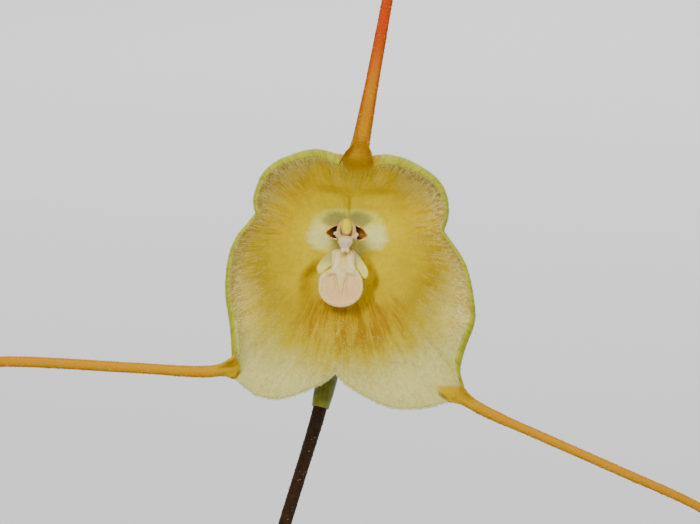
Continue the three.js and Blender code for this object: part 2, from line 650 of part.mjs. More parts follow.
// The lip: a ridged neck with a pale wing on each side, and a round dished blade with a keel down its middle.
const BLADE_MIDDLE = [-1.2, -3.3, -4.7];
const BLADE_RADII = [2.85, 2.55];
function lipBladeGeometry() {
  const columns = 22;
  const shares = [0.25, 0.5, 0.72, 0.88, 1];
  const [x0, y0, z0] = BLADE_MIDDLE;
  const relief = (x, y, share) => {
    const bead = 0.35 * (1 - smooth(0, 0.16, Math.abs(share - 0.88)));
    const keel = 0.4 * (1 - smooth(0.15, 0.75, Math.abs(x))) * smooth(-2.2, 0.5, y);
    return 0.35 * share ** 2 + bead + keel;
  };
  const points = [];
  const triangles = [];
  for (const back of [false, true])
    for (const share of shares)
      for (let j = 0; j < columns; j++) {
        const angle = (2 * Math.PI * j) / columns;
        const [x, y] = [BLADE_RADII[0] * share * Math.cos(angle), BLADE_RADII[1] * share * Math.sin(angle)];
        const z = back ? -0.75 + 0.5 * share ** 3 : relief(x, y, share);
        points.push(vec(x0 + x, y0 + y, z0 + z));
      }
  const half = shares.length * columns;
  for (let j = 0; j < columns; j++) {
    const k = (j + 1) % columns;
    for (let i = 0; i + 1 < shares.length; i++) {
      const [a, b] = [i * columns + j, i * columns + k];
      triangles.push(a, a + columns, b + columns, a, b + columns, b);
      triangles.push(half + a, half + b + columns, half + a + columns, half + a, half + b, half + b + columns);
    }
    const outer = (shares.length - 1) * columns;
    triangles.push(outer + j, half + outer + j, half + outer + k, outer + j, half + outer + k, outer + k);
  }
  const frontHub = points.push(vec(x0, y0, z0 + relief(0, 0, 0))) - 1;
  const backHub = points.push(vec(x0, y0, z0 - 0.75)) - 1;
  for (let j = 0; j < columns; j++) {
    const k = (j + 1) % columns;
    triangles.push(frontHub, j, k);
    triangles.push(backHub, half + k, half + j);
  }
  return surface(points, triangles);
}

function lipGeometry() {
  const neck = skin(tubeRings(
    curveThrough([[-0.75, 0.9, -8.4], [-0.8, 0.5, -7.2], [-0.9, -0.4, -6.0], [-1.0, -1.6, -5.1], [-1.1, -2.6, -4.9]]),
    6, 10,
    (share, angle) => 0.95 + 0.2 * Math.sin(share * Math.PI) * Math.abs(Math.cos(angle)),
  ));
  const wing = (outline) => {
    const plate = new THREE.ExtrudeGeometry(
      new THREE.Shape(outline.map(([x, y]) => new THREE.Vector2(x, y))),
      { depth: 0.6, bevelEnabled: false },
    );
    const positions = plate.attributes.position;
    for (let i = 0; i < positions.count; i++)
      positions.setZ(i, positions.getZ(i) - 7.3 - 0.42 * (positions.getY(i) - 1));
    return plate;
  };
  const leftWing = wing([[-1.0, 1.6], [-2.1, 1.4], [-4.1, -1.0], [-3.8, -2.4], [-2.4, -2.0], [-1.0, -1.0]]);
  const rightWing = wing([[-0.9, 1.6], [-0.9, -1.0], [1.0, -1.8], [2.5, -2.6], [2.3, -0.9], [0.5, 1.4]]);
  return toGeometry(
    toSolid(lipBladeGeometry()).add(toSolid(neck)).add(toSolid(leftWing)).add(toSolid(rightWing)),
  );
}
addPiece(bloom, "lip", lipGeometry(), LIP);

// Behind the cup the ribbed ovary bends down into a thin stalk, which stands in the tubular bract.
const ovaryPath = curveThrough([
  [-3.8, -17.2, -14.2],
  [-3.2, -14.2, -14.9],
  [-2.3, -9.5, -16.4],
  [-1.5, -4.5, -17.9],
  [-0.9, -0.6, -18.0],
  [-0.6, 2.0, -16.3],
  [-0.5, 3.0, -13.6],
  [-0.5, 3.1, -10.4],
]);
const ovaryRadius = (share, angle) =>
  0.48 + 0.87 * smooth(0.62, 0.8, share) * (1 + 0.09 * Math.cos(6 * angle)) - 0.2 * smooth(0.93, 1, share);
addPiece(bloom, "ovary", skin(tubeRings(ovaryPath, 22, 12, ovaryRadius)), BRACT);

function bractGeometry() {
  const curve = curveThrough([[-4.1, -18.7, -13.9], [-3.95, -17.9, -14.05], [-3.2, -14.2, -14.9], [-2.3, -9.5, -16.4]]);
  const outer = tubeRings(curve, 7, 10, (share) => 1.1 + 0.45 * share ** 0.8);
  const inner = tubeRings(curve, 7, 10, (share) => 0.82 + 0.36 * share);
  // The mouth is cut on a slant, so one side stands higher.
  const slant = (ring) => ring.map((p) => p.clone().add(vec(0, (p.x + 2.35) * 0.9, 0)));
  outer[7] = slant(outer[7]);
  inner[7] = slant(inner[7]);
  return skin([...outer, ...inner.slice(1).reverse()]);
}
addPiece(bloom, "bract", bractGeometry(), BRACT);

export default orchid;
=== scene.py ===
# %% [markdown]
# # A long-tailed orchid in a slatted basket
# The flower is about 3 cm wide: three sepals joined into a shallow cup, each drawn out into a long thin
# tail. The frame holds every piece at its true size. Here each one gets its fine form and its finish, in
# the same metres and the same places, so nothing has to be fitted afterwards.

# %% Load the frame
import contextlib
import math

import bpy
import numpy as np
from mathutils import Matrix, Vector


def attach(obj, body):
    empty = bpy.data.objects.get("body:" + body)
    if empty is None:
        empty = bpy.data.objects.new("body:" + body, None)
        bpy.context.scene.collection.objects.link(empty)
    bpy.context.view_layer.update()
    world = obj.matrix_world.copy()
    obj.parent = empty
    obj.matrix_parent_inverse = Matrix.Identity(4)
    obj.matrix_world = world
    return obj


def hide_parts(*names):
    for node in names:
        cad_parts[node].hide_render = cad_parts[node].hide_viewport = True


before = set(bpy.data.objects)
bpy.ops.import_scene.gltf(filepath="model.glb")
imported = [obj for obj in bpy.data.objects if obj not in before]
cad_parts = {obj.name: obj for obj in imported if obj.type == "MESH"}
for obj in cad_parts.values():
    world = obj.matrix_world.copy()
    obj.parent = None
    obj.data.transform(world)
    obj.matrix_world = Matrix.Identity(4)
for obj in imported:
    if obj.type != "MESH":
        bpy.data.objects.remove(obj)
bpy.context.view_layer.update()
print("nodes in the frame:", len(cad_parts))

# %% [markdown]
# The flower is easiest to draw in a frame of its own: millimetres, X to the right, Y up the face and Z out
# of the cup, towards whoever looks at it. It leans back by ten degrees. One function takes points from
# there to the row frame.

# %% The flower's own frame
MM = 0.001
BLOOM_CENTRE = np.array([12.0, -20.0, 245.0])
FACE_TILT = math.radians(10)
BLOOM_AXES = np.array([
    [1, 0, 0],
    [0, math.sin(FACE_TILT), math.cos(FACE_TILT)],
    [0, -math.cos(FACE_TILT), math.sin(FACE_TILT)],
])


def in_row(points):
    """Points of the flower's frame, in millimetres, as points of the row frame, in metres."""
    return (BLOOM_CENTRE + np.asarray(points, float) @ BLOOM_AXES) * MM


print("the flower's middle:", in_row([0, 0, 0]).round(4))

# %% [markdown]
# The camera looks straight into the cup from 45 cm, with a long lens, as for a close-up. The lens frames 90
# mm at that distance, so the tails run out of the picture.

# %% Camera
CAMERA_DISTANCE = 450.0
camera_data = bpy.data.cameras.new("camera")
camera_data.sensor_width = 36
camera_data.lens = 180
camera_data.clip_start = 0.01
camera_data.clip_end = 100
camera = bpy.data.objects.new("camera", camera_data)
bpy.context.scene.collection.objects.link(camera)
camera.matrix_world = Matrix.Translation(in_row([0, 0, CAMERA_DISTANCE])) @ Matrix(BLOOM_AXES.T).to_4x4()
bpy.context.scene.camera = camera
print("the camera stands at", tuple(round(c, 3) for c in camera.location))

# %% [markdown]
# A plain pale floor and soft light. The key light is large and comes from above, a little to the left, like
# a soft box over the camera. A weaker one fills from the right, and the weakest from below. Two wide ones
# above light the floor and the leaves.

# %% Floor and light
def clear_selection():
    """Object mode, with nothing selected."""
    if bpy.context.object and bpy.context.object.mode != "OBJECT":
        bpy.ops.object.mode_set(mode="OBJECT")
    bpy.ops.object.select_all(action="DESELECT")


def pick(*pieces):
    """Selects these pieces and nothing else, and makes the first one active."""
    clear_selection()
    for piece in pieces:
        piece.select_set(True)
    bpy.context.view_layer.objects.active = pieces[0]


@contextlib.contextmanager
def whole_mesh():
    """Edit mode, with the whole of the active piece selected."""
    bpy.ops.object.mode_set(mode="EDIT")
    bpy.ops.mesh.select_all(action="SELECT")
    yield
    bpy.ops.object.mode_set(mode="OBJECT")


def soft_light(name, place, aim, size, power):
    """A square soft light at a place in the row frame, aimed at a point, unseen by the camera."""
    data = bpy.data.lights.new(name, "AREA")
    data.size = size
    data.energy = power
    lamp = bpy.data.objects.new(name, data)
    bpy.context.scene.collection.objects.link(lamp)
    lamp.location = place
    lamp.rotation_euler = (Vector(aim) - Vector(place)).to_track_quat("-Z", "Y").to_euler()
    lamp.visible_camera = False


FLOOR_SIZE = 40
clear_selection()
bpy.ops.mesh.primitive_plane_add(size=FLOOR_SIZE)
floor = bpy.context.object
floor.name = "floor"

FACE_MIDDLE = tuple(in_row([0, 0, -5]))
soft_light("key", tuple(in_row([-110, 210, 330])), FACE_MIDDLE, 0.2, 1.15)
soft_light("fill", tuple(in_row([260, 40, 380])), FACE_MIDDLE, 0.35, 0.22)
soft_light("low", tuple(in_row([-40, -260, 360])), FACE_MIDDLE, 0.35, 0.16)
soft_light("overhead", (0.3, -0.5, 1.5), (0, 0, 0.1), 1.2, 6)
soft_light("backdrop", (0.2, 2.4, 1.9), (0, 1.7, 0), 2.6, 75)

world = bpy.data.worlds.new("soft_room")
bpy.context.scene.world = world
world.use_nodes = True
world.node_tree.nodes["Background"].inputs["Color"].default_value = (0.94, 0.96, 1.0, 1)
world.node_tree.nodes["Background"].inputs["Strength"].default_value = 0.5

# %% [markdown]
# ## Finishes
# Every finish is a node tree of its own, and the helpers add to the tree that was started last. What a node
# works out is wrapped as a value, so that sums and products can be written as plain arithmetic. The other
# helpers blend two colours, make a soft step, and hand the results over. Colours are linear values.

# %% Helpers for node trees
class Value:
    """What a node works out. Arithmetic on it adds the node for that step."""

    def __init__(self, socket):
        self.socket = socket

    def __add__(self, other):
        return arithmetic("ADD", self, other)

    def __radd__(self, other):
        return arithmetic("ADD", other, self)

    def __sub__(self, other):
        return arithmetic("SUBTRACT", self, other)

    def __rsub__(self, other):
        return arithmetic("SUBTRACT", other, self)

    def __mul__(self, other):
        return arithmetic("MULTIPLY", self, other)

    def __truediv__(self, other):
        return arithmetic("DIVIDE", self, other)

    def __pow__(self, other):
        return arithmetic("POWER", self, other)

    def __abs__(self):
        return arithmetic("ABSOLUTE", self)


class Results:
    """The outputs of a node as values, by name or number."""

    def __init__(self, node):
        self.sockets = node.outputs

    def __getitem__(self, key):
        return Value(self.sockets[key])


def fill_inputs(node, inputs):
    """Gives a node its inputs: a value that another node works out, or a plain one."""
    for key, value in inputs.items():
        if isinstance(value, Value):
            tree.links.new(value.socket, node.inputs[key])
        else:
            node.inputs[key].default_value = value
    return Results(node)


def add_node(kind, inputs, **settings):
    """Adds a shader node to the tree."""
    node = tree.nodes.new("ShaderNode" + kind)
    for key, value in settings.items():
        setattr(node, key, value)
    return fill_inputs(node, inputs)


def arithmetic(operation, first, second=0.0, clamp=False):
    """One step of arithmetic on two values."""
    return add_node("Math", {0: first, 1: second}, operation=operation, use_clamp=clamp)[0]


def tint(red, green, blue):
    """A colour for a socket, in linear values."""
    return (red, green, blue, 1)


def blend(share, low, high):
    """The colour low where share is 0 and high where it is 1."""
    return add_node("Mix", {0: share, 6: low, 7: high}, data_type="RGBA", clamp_factor=True)[2]


def ramp(value, low, high):
    """0 below low, 1 above high, and smooth between."""
    inputs = {"Value": value, "From Min": low, "From Max": high}
    return add_node("MapRange", inputs, interpolation_type="SMOOTHSTEP")[0]


def noise(point, scale, detail=2.0, **inputs):
    """Soft noise from 0 to 1."""
    return add_node("TexNoise", {"Vector": point, "Scale": scale, "Detail": detail, **inputs})[0]


def vector_step(operation, first, second=(0.0, 0.0, 0.0)):
    """One step of arithmetic on two points."""
    return add_node("VectorMath", {0: first, 1: second}, operation=operation)[0]


def attribute(name, output="Fac"):
    """A value that the piece's mesh carries at each point."""
    return add_node("Attribute", {}, attribute_name=name)[output]


def object_point(**placing):
    """The point on the object, in millimetres; placing moves and turns it."""
    point = add_node("TexCoord", {})["Object"]
    return add_node("Mapping", {"Vector": point, "Scale": (1 / MM,) * 3, **placing})[0]


def flower_point():
    """The point in the flower's own frame."""
    return object_point(
        Location=tuple(-(BLOOM_AXES @ BLOOM_CENTRE)), Rotation=(FACE_TILT - math.pi / 2, 0, 0))


def parts_of(point):
    """The X, Y and Z of a point."""
    parts = add_node("SeparateXYZ", {0: point})
    return parts["X"], parts["Y"], parts["Z"]


def new_finish(name, **sockets):
    """Starts a finish: a material, with the plain values of its Principled shader."""
    global tree, ends
    material = bpy.data.materials.new(name)
    material.use_nodes = True
    tree = material.node_tree
    ends = tree.nodes["Principled BSDF"].inputs
    for key, value in sockets.items():
        ends[key.replace("_", " ")].default_value = value
    return material


def new_group(name, inputs, outputs):
    """Starts a node group with its named inputs (name, kind, value) and outputs (name, kind)."""
    global tree, ends
    tree = bpy.data.node_groups.new(name, "ShaderNodeTree")
    for title, kind, value in inputs:
        socket = tree.interface.new_socket(title, in_out="INPUT", socket_type="NodeSocket" + kind)
        if value is not None:
            socket.default_value = value
    for title, kind in outputs:
        tree.interface.new_socket(title, in_out="OUTPUT", socket_type="NodeSocket" + kind)
    start, ends = tree.nodes.new("NodeGroupInput"), tree.nodes.new("NodeGroupOutput").inputs
    return tree, Results(start)


def use_group(group, inputs):
    """Places a node group in the tree."""
    node = tree.nodes.new("ShaderNodeGroup")
    node.node_tree = group
    return fill_inputs(node, inputs)


def give(**results):
    """Hands results to the shader of the finish, or out of the group."""
    for name, value in results.items():
        tree.links.new(value.socket, ends[name.replace("_", " ")])


def emboss(height, strength, depth, **settings):
    """Gives the finish a relief of some depth, in metres."""
    give(Normal=add_node("Bump", {"Height": height, "Strength": strength, "Distance": depth}, **settings)[0])


print("helpers for finishes are ready")

# %% [markdown]
# Three effects come back in many finishes, so each is a node group. Mottle varies a colour's lightness in
# soft patches, as all grown surfaces do. Papillae are the tiny blunt bumps that make these flowers look
# furry. Rays are streaks that run out from the middle of the cup: noise that changes fast round the middle
# and slowly outwards.

# %% Shared effects
mottle, given = new_group(
    "mottle",
    [("Color", "Color", None), ("Point", "Vector", None), ("Scale", "Float", 1.0), ("Amount", "Float", 0.2)],
    [("Color", "Color"), ("Value", "Float")],
)
patches = noise(given["Point"], given["Scale"], 4.0)
lightness = (patches - 0.5) * given["Amount"] * 4.0 + 1.0
scaled = add_node("VectorMath", {0: given["Color"], "Scale": lightness}, operation="SCALE")[0]
give(Color=scaled, Value=patches)


def mottled(colour, point, scale, amount):
    """A colour with soft patches; also the patches by themselves."""
    return use_group(mottle, {"Color": colour, "Point": point, "Scale": scale, "Amount": amount})


papillae, given = new_group(
    "papillae",
    [("Point", "Vector", None), ("Per_mm", "Float", 4.0)],
    [("Height", "Float"), ("Tip", "Float")],
)
away = add_node("TexVoronoi", {"Vector": given["Point"], "Scale": given["Per_mm"]})["Distance"]
give(Height=arithmetic("SUBTRACT", 1.0, away, clamp=True) ** 2.0, Tip=ramp(away, 0.32, 0.12))

CUP_MIDDLE = (-0.5, 3.0)
rays, given = new_group(
    "rays",
    [("Point", "Vector", None), ("Around", "Float", 12.0), ("Outward", "Float", 0.3)],
    [("Value", "Float"), ("Radius", "Float")],
)
flat = vector_step("MULTIPLY", given["Point"], (1.0, 1.0, 0.0))
offset = vector_step("SUBTRACT", flat, (*CUP_MIDDLE, 0.0))
reach = add_node("VectorMath", {0: offset}, operation="LENGTH")["Value"]
heading = vector_step("NORMALIZE", offset)
turned = add_node("VectorMath", {0: heading, "Scale": given["Around"]}, operation="SCALE")[0]
outward = add_node("CombineXYZ", {2: reach * given["Outward"]})[0]
streaks = noise(vector_step("ADD", turned, outward), 1.0, 3.0, Roughness=0.6)
give(Value=streaks, Radius=reach)
print("shared effects:", [group.name for group in bpy.data.node_groups])

# %% [markdown]
# The floor is matt and nearly white, with a faint unevenness so that it doesn't look like empty space.

# %% Floor finish
floor_finish = new_finish("floor_finish", Roughness=0.9)
metres = add_node("TexCoord", {})["Object"]
paper = mottled(tint(0.78, 0.78, 0.77), metres, 3.0, 0.01)
give(Base_Color=paper["Color"])
floor.data.materials.append(floor_finish)
print("floor:", floor_finish.name)

# %% [markdown]
# ## Helpers for grown shapes
# Petals, tails and stems have no flat face and no straight edge, so extruding boxes can't reach their form.
# They start as a grid primitive all the same. The grid is rolled into a sleeve: each of its rows is laid on
# one ring of the shape, the seam is merged, and a row of equal points closes an end. The grid brings an
# even set of faces and a UV map that runs round and along the shape.

# %% Lines and rolled skins
def line_through(points, shares):
    """Points at shares of the length of the smooth line (a centripetal spline) through the given points."""
    given = np.asarray(points, float)
    given = np.vstack([2 * given[0] - given[1], given, 2 * given[-1] - given[-2]])
    fine = []
    t = np.linspace(0, 1, 40, endpoint=False)[:, None]
    for p0, p1, p2, p3 in zip(given[:-3], given[1:-2], given[2:-1], given[3:]):
        d0, d1, d2 = (np.linalg.norm(b - a) ** 0.5 for a, b in ((p0, p1), (p1, p2), (p2, p3)))
        t1 = ((p1 - p0) / d0 - (p2 - p0) / (d0 + d1) + (p2 - p1) / d1) * d1
        t2 = ((p2 - p1) / d1 - (p3 - p1) / (d1 + d2) + (p3 - p2) / d2) * d1
        fine.append(p1 + t1 * t + (3 * (p2 - p1) - 2 * t1 - t2) * t**2 + (2 * (p1 - p2) + t1 + t2) * t**3)
    fine = np.vstack([*fine, given[-2:-1]])
    run = np.concatenate([[0], np.cumsum(np.linalg.norm(np.diff(fine, axis=0), axis=1))])
    return np.stack([np.interp(np.asarray(shares) * run[-1], run, fine[:, k]) for k in range(3)], axis=1)


def smooth(low, high, x):
    """0 below low, 1 above high, and smooth between."""
    t = np.clip((np.asarray(x, float) - low) / (high - low), 0, 1)
    return t * t * (3 - 2 * t)


def unit(vectors):
    """The same directions, one unit long."""
    return vectors / np.maximum(np.linalg.norm(vectors, axis=-1, keepdims=True), 1e-12)


def roll_skin(name, rings, values=None, closed=True):
    """A grid rolled over rings (rows, columns, 3). values: names, and numbers for the points to carry."""
    rows, columns = rings.shape[:2]
    clear_selection()
    bpy.ops.mesh.primitive_grid_add(x_subdivisions=columns, y_subdivisions=rows - 1, calc_uvs=True)
    piece = bpy.context.object
    piece.name = name
    piece.data.name = name
    bpy.ops.object.mode_set(mode="EDIT")
    bpy.ops.mesh.select_all(action="DESELECT")
    bpy.ops.object.mode_set(mode="OBJECT")

    def wrapped(grid):
        return np.concatenate([grid, grid[:, :1]], axis=1).astype(np.float32).ravel()
    piece.data.vertices.foreach_set("co", wrapped(rings))
    for key, grid in (values or {}).items():
        carried = piece.data.attributes.new(key, "FLOAT", "POINT")
        carried.data.foreach_set("value", wrapped(np.broadcast_to(grid, (rows, columns))[..., None]))
    if closed:
        close_skin(piece)
    return piece


def close_skin(piece):
    """Merges a rolled skin's seam and ends, makes its faces look outwards and shades it smooth."""
    pick(piece)
    with whole_mesh():
        bpy.ops.mesh.remove_doubles(threshold=1e-7)
        bpy.ops.mesh.normals_make_consistent(inside=False)
    bpy.ops.object.shade_smooth()
    clear_selection()


def tube_rings(path, radii, sides):
    """Rings round a path, carried along it without a twist. radii is (rows,) or (rows, sides)."""
    path = np.asarray(path, float)
    tangents = unit(np.gradient(path, axis=0))
    across = unit(np.cross(tangents[0], [0.31, 0.95, 0.05]))
    angles = 2 * np.pi * np.arange(sides) / sides
    rings = []
    radii = np.asarray(radii, float)
    if radii.ndim == 1:
        radii = radii[:, None] * np.ones(sides)
    for middle, tangent, reach in zip(path, tangents, radii):
        across = unit(across - tangent * across.dot(tangent))
        up = np.cross(tangent, across)
        round_path = np.cos(angles)[:, None] * across + np.sin(angles)[:, None] * up
        rings.append(middle + reach[:, None] * round_path)
    return np.array(rings)


def with_ends(rings):
    """The rings with a point at each end, so that the skin over them closes."""
    first, last = rings[0].mean(0), rings[-1].mean(0)
    return np.concatenate([
        np.broadcast_to(first, rings[:1].shape), rings, np.broadcast_to(last, rings[:1].shape)
    ])


def settle(piece, finish, slot, *nodes):
    """Gives a piece its finish, binds it to the frame's one body, and hides the frame's nodes that it stands
    for.
    """
    piece.data.materials.clear()
    piece.data.materials.append(finish)
    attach(piece, "root")
    if nodes:
        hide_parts(*nodes)
    print(piece.name, "has", len(piece.data.polygons), "faces")


print("helpers for grown shapes are ready")

# %% [markdown]
# Hairs, warts and moss need thousands of copies of one small shape. The shape is modelled once. Then one
# mesh is filled with copies, each turned, stretched and placed by its own matrix, because thousands of
# separate objects would be slow to open. Each copy carries a number of its own, for its finish to vary.

# %% Many small copies in one piece
def aim(directions, widths, lengths, twist=None):
    """Matrices (n, 3, 3) that turn Z to each direction and stretch the shape across and along it."""
    directions = unit(np.asarray(directions, float))
    helper = np.where(np.abs(directions[:, 2:3]) < 0.9, [[0.0, 0.0, 1.0]], [[1.0, 0.0, 0.0]])
    across = unit(np.cross(helper, directions))
    over = np.cross(directions, across)
    if twist is not None:
        c, s = np.cos(twist)[:, None], np.sin(twist)[:, None]
        across, over = c * across + s * over, c * over - s * across
    widths = np.broadcast_to(widths, len(directions))[:, None]
    lengths = np.broadcast_to(lengths, len(directions))[:, None]
    return np.stack([across * widths, over * widths, directions * lengths], axis=2)


def copies_of(shape, name, matrices, places, chances):
    """One mesh with a copy of a modelled shape at each place. The shape itself is removed by the caller."""
    corners = np.array([v.co for v in shape.data.vertices])
    shape.data.calc_loop_triangles()
    faces = np.array([t.vertices[:] for t in shape.data.loop_triangles])
    points = np.einsum("nij,vj->nvi", matrices, corners) + np.asarray(places)[:, None]
    count = len(points)
    index = (faces[None] + (np.arange(count) * len(corners))[:, None, None]).ravel()
    mesh = bpy.data.meshes.new(name)
    mesh.vertices.add(count * len(corners))
    mesh.vertices.foreach_set("co", points.astype(np.float32).ravel())
    mesh.loops.add(len(index))
    mesh.loops.foreach_set("vertex_index", index.astype(np.int32))
    mesh.polygons.add(len(index) // 3)
    mesh.polygons.foreach_set("loop_start", np.arange(0, len(index), 3, dtype=np.int32))
    chance = mesh.attributes.new("chance", "FLOAT", "POINT")
    chance.data.foreach_set("value", np.repeat(chances, len(corners)).astype(np.float32))
    mesh.update(calc_edges=True)
    mesh.shade_smooth()
    piece = bpy.data.objects.new(name, mesh)
    bpy.context.scene.collection.objects.link(piece)
    return piece


def small_shape(sides, bent=0.0, blunt=False):
    """A hair (a spike that bends over) or a wart (a blunt dome), one unit in length and in radius."""
    clear_selection()
    bpy.ops.mesh.primitive_cone_add(
        vertices=sides, radius1=1, radius2=0.62, depth=0.55, end_fill_type="NOTHING")
    shape = bpy.context.object
    with whole_mesh():
        bpy.ops.transform.translate(value=(0, 0, 0.275))
    top = [v.co.z > 0.5 for v in shape.data.vertices]
    shape.data.polygons.foreach_set("select", [False] * sides)
    shape.data.vertices.foreach_set("select", top)
    shape.data.edges.foreach_set(
        "select", [top[e.vertices[0]] and top[e.vertices[1]] for e in shape.data.edges])
    bpy.ops.object.mode_set(mode="EDIT")
    bpy.ops.mesh.extrude_edges_move(TRANSFORM_OT_translate={"value": (bent, 0, 0.175)})
    bpy.ops.mesh.merge(type="CENTER" if blunt else "COLLAPSE")
    bpy.ops.object.mode_set(mode="OBJECT")
    clear_selection()
    return shape


hair_shape = small_shape(3, bent=0.25)
wart_shape = small_shape(6, blunt=True)
print("hair faces:", len(hair_shape.data.polygons), "wart faces:", len(wart_shape.data.polygons))

# %% [markdown]
# ## The cup of sepals
# The three sepals have grown together into one cup. Its rim runs clockwise from the top tail in stretches:
# two rounded lobes at the top, a long flank on each side, and two hanging lobes below. Between the top
# lobes and the flanks the rim has a notch, and between the hanging lobes it has a third one. The top lobes
# and the flanks curl forward, so the green outside shows as a narrow band; the hanging lobes are flat. Each
# stretch says how long its curl is, in millimetres, and how far it turns, in degrees, at its start and its
# end.

# %% Rim of the cup
RIM = [
    ([(3.7, 13.8), (4.7, 13.85), (7.2, 13.3), (10.3, 11.6), (11.7, 10.25), (12.5, 8.6), (12.75, 6.2),
      (12.15, 4.0)], 44, (3.9, 166), (1.9, 122)),
    ([(12.15, 4.0), (13.05, 2.7), (14.25, 1.0), (15.1, -0.7), (16.05, -5.1), (16.1, -7.7), (15.1, -10.5),
      (14.6, -12.0), (14.2, -14.1), (14.7, -16.0)], 52, (1.9, 120), (3.7, 158)),
    ([(12.5, -17.9), (9.8, -18.6), (5.4, -18.6), (1.0, -16.6), (-0.8, -15.3), (-1.9, -14.1)],
     46, (1.7, 2), (1.6, -16)),
    ([(-1.9, -14.1), (-3.2, -15.2), (-5.0, -16.1), (-8.7, -17.4), (-11.8, -17.1), (-13.3, -16.1),
      (-14.6, -15.0)], 42, (1.6, -16), (1.7, 2)),
    ([(-15.2, -12.5), (-15.45, -8.6), (-16.1, -3.7), (-15.6, 1.0), (-14.5, 3.5), (-13.45, 4.75),
      (-12.2, 6.3)], 50, (3.1, 158), (1.8, 117)),
    ([(-12.2, 6.3), (-12.5, 7.8), (-12.1, 9.6), (-11.4, 11.25), (-10.1, 12.6), (-8.35, 13.55), (-4.65, 14.55),
      (-1.5, 13.9)], 46, (1.9, 122), (3.0, 163)),
]
TAIL_AFTER = (1, 3, 5)
TAIL_COLUMNS = 12
TAIL_CURL = (1.6, 17)

rim_points, rim_curls, tail_starts = [], [], []
for number, (stretch, count, curl_start, curl_end) in enumerate(RIM):
    points = np.array([(*p, 0.0) for p in stretch])
    shares = np.arange(count) / count
    rim_points.append(line_through(points, shares))
    eased = shares**0.7 if curl_start[0] > curl_end[0] else shares ** (1 / 0.7)
    rim_curls.append(np.outer(1 - eased, curl_start) + np.outer(eased, curl_end))
    if number in TAIL_AFTER:
        after = RIM[(number + 1) % len(RIM)]
        shares = (np.arange(TAIL_COLUMNS) / TAIL_COLUMNS)[:, None]
        begin, end = np.array([stretch[-1], after[0][0]])
        tail_starts.append(sum(map(len, rim_points)))
        rim_points.append(np.hstack([begin + (end - begin) * shares, 0 * shares]))
        beside = np.where(shares < 0.5, curl_end, after[2])
        inside = smooth(0, 0.3, np.minimum(shares, 1 - shares))
        rim_curls.append(beside + (np.array(TAIL_CURL) - beside) * inside)
rim_points = np.vstack(rim_points)[:, :2]
rim_curls = np.vstack(rim_curls)
COLUMNS = len(rim_points)
print("rim columns:", COLUMNS, "tails start at", tail_starts)

# %% [markdown]
# From the cup's middle a column of points runs out to each rim point. The cup is a bowl: deep in the
# middle, with a brow fold over the column, a funnel behind the lip and a groove up the middle of the top
# sepal. Fine radial ribs stiffen the flanks, and near the rim the column turns over in its curl. A fleshy
# petal is thickest in the middle and thins out towards its margin.

# %% Form of the cup
CUP_DEPTH = 9.5
THICK_MIDDLE, THICK_MARGIN = 0.65, 0.36
BOWL_ROWS, CURL_ROWS = 50, 12
RIB_HEIGHT = 0.045
LEFT_WALL = ([-9, -4, -1.9, -1.2, -0.2, 0.9, 2.0], [-5.6, -6.0, -5.8, -5.3, -4.3, -3.2, -2.2])
RIGHT_WALL = ([-9, -5.5, -3.6, -2.4, -1.2, 0.2, 1.5, 2.0], [2.6, 2.8, 3.1, 3.5, 3.1, 2.3, 1.3, 0.9])

offsets = rim_points - np.array(CUP_MIDDLE)
full = np.linalg.norm(offsets, axis=1)
outward = offsets / full[:, None]
angles = np.arctan2(outward[:, 1], outward[:, 0])
top = smooth(0.12, 0.6, outward[:, 1])
bottom = smooth(0.45, 0.85, -outward[:, 1])
side = 1 - top - bottom
edge_height = -2.6 * top - 2.6 * side - 1.3 * bottom
bowl_power = 2.1 * top + 1.8 * side + 1.3 * bottom


def cup_height(x, y, share, columns):
    """Height of the cup's front face. columns picks the rim directions that the points lie in."""
    bowl = -CUP_DEPTH + (edge_height[columns] + CUP_DEPTH) * share ** bowl_power[columns]
    level = y + 0.3 * np.exp(-((x / 2.2) ** 2)) - 0.35 * smooth(-1, -4, x)
    brow = top[columns] * (1 - smooth(3.2, 7.5, np.abs(x - 0.5))) * (
        0.9 * smooth(8.6, 10.4, level) - 0.8 * smooth(7.2, 9.1, level) * (1 - smooth(9.1, 10.1, level))
    )
    left_wall = np.interp(y, *LEFT_WALL)
    right_wall = np.interp(y, *RIGHT_WALL)
    pocket = -1.4 * smooth(-1.1, 1.3, x - left_wall) * (1 - smooth(-1.1, 0.8, x - right_wall))
    pocket = pocket * smooth(-9, -3.5, y) * (1 - smooth(-1.8, 2.0, y))
    groove = -0.35 * (1 - smooth(0, 0.7, np.abs(x + 0.3))) * smooth(5, 6.5, y) * (1 - smooth(9, 10.5, y))
    around = angles[columns]
    ribs = np.sin(46 * around + 1.7 * np.sin(5 * around)) + 0.6 * np.sin(71 * around + 2 * np.sin(3 * around))
    ribs = RIB_HEIGHT * ribs * smooth(0.35, 0.8, share) * (1 - 0.5 * bottom[columns])
    return bowl + brow + pocket + groove + ribs


def rounded_round(values, width):
    """Values round the rim, averaged with their neighbours, so that a notch fades towards the middle."""
    reach = np.arange(-3 * width, 3 * width + 1)
    weights = np.exp(-0.5 * (reach / width) ** 2)
    return sum(w * np.roll(values, -r) for w, r in zip(weights / weights.sum(), reach))


every = np.arange(COLUMNS)


def height_at(radius, main):
    """Height at a distance from the middle, for all columns. main is where the curl begins."""
    x = CUP_MIDDLE[0] + outward[:, 0] * radius
    y = CUP_MIDDLE[1] + outward[:, 1] * radius
    near_rim = smooth(0.55, 1.0, radius / main)
    soft = rounded_round(main, 9)
    share = radius / (soft + (main - soft) * near_rim)
    return cup_height(x, y, np.clip(share, 0, 1.2), every)


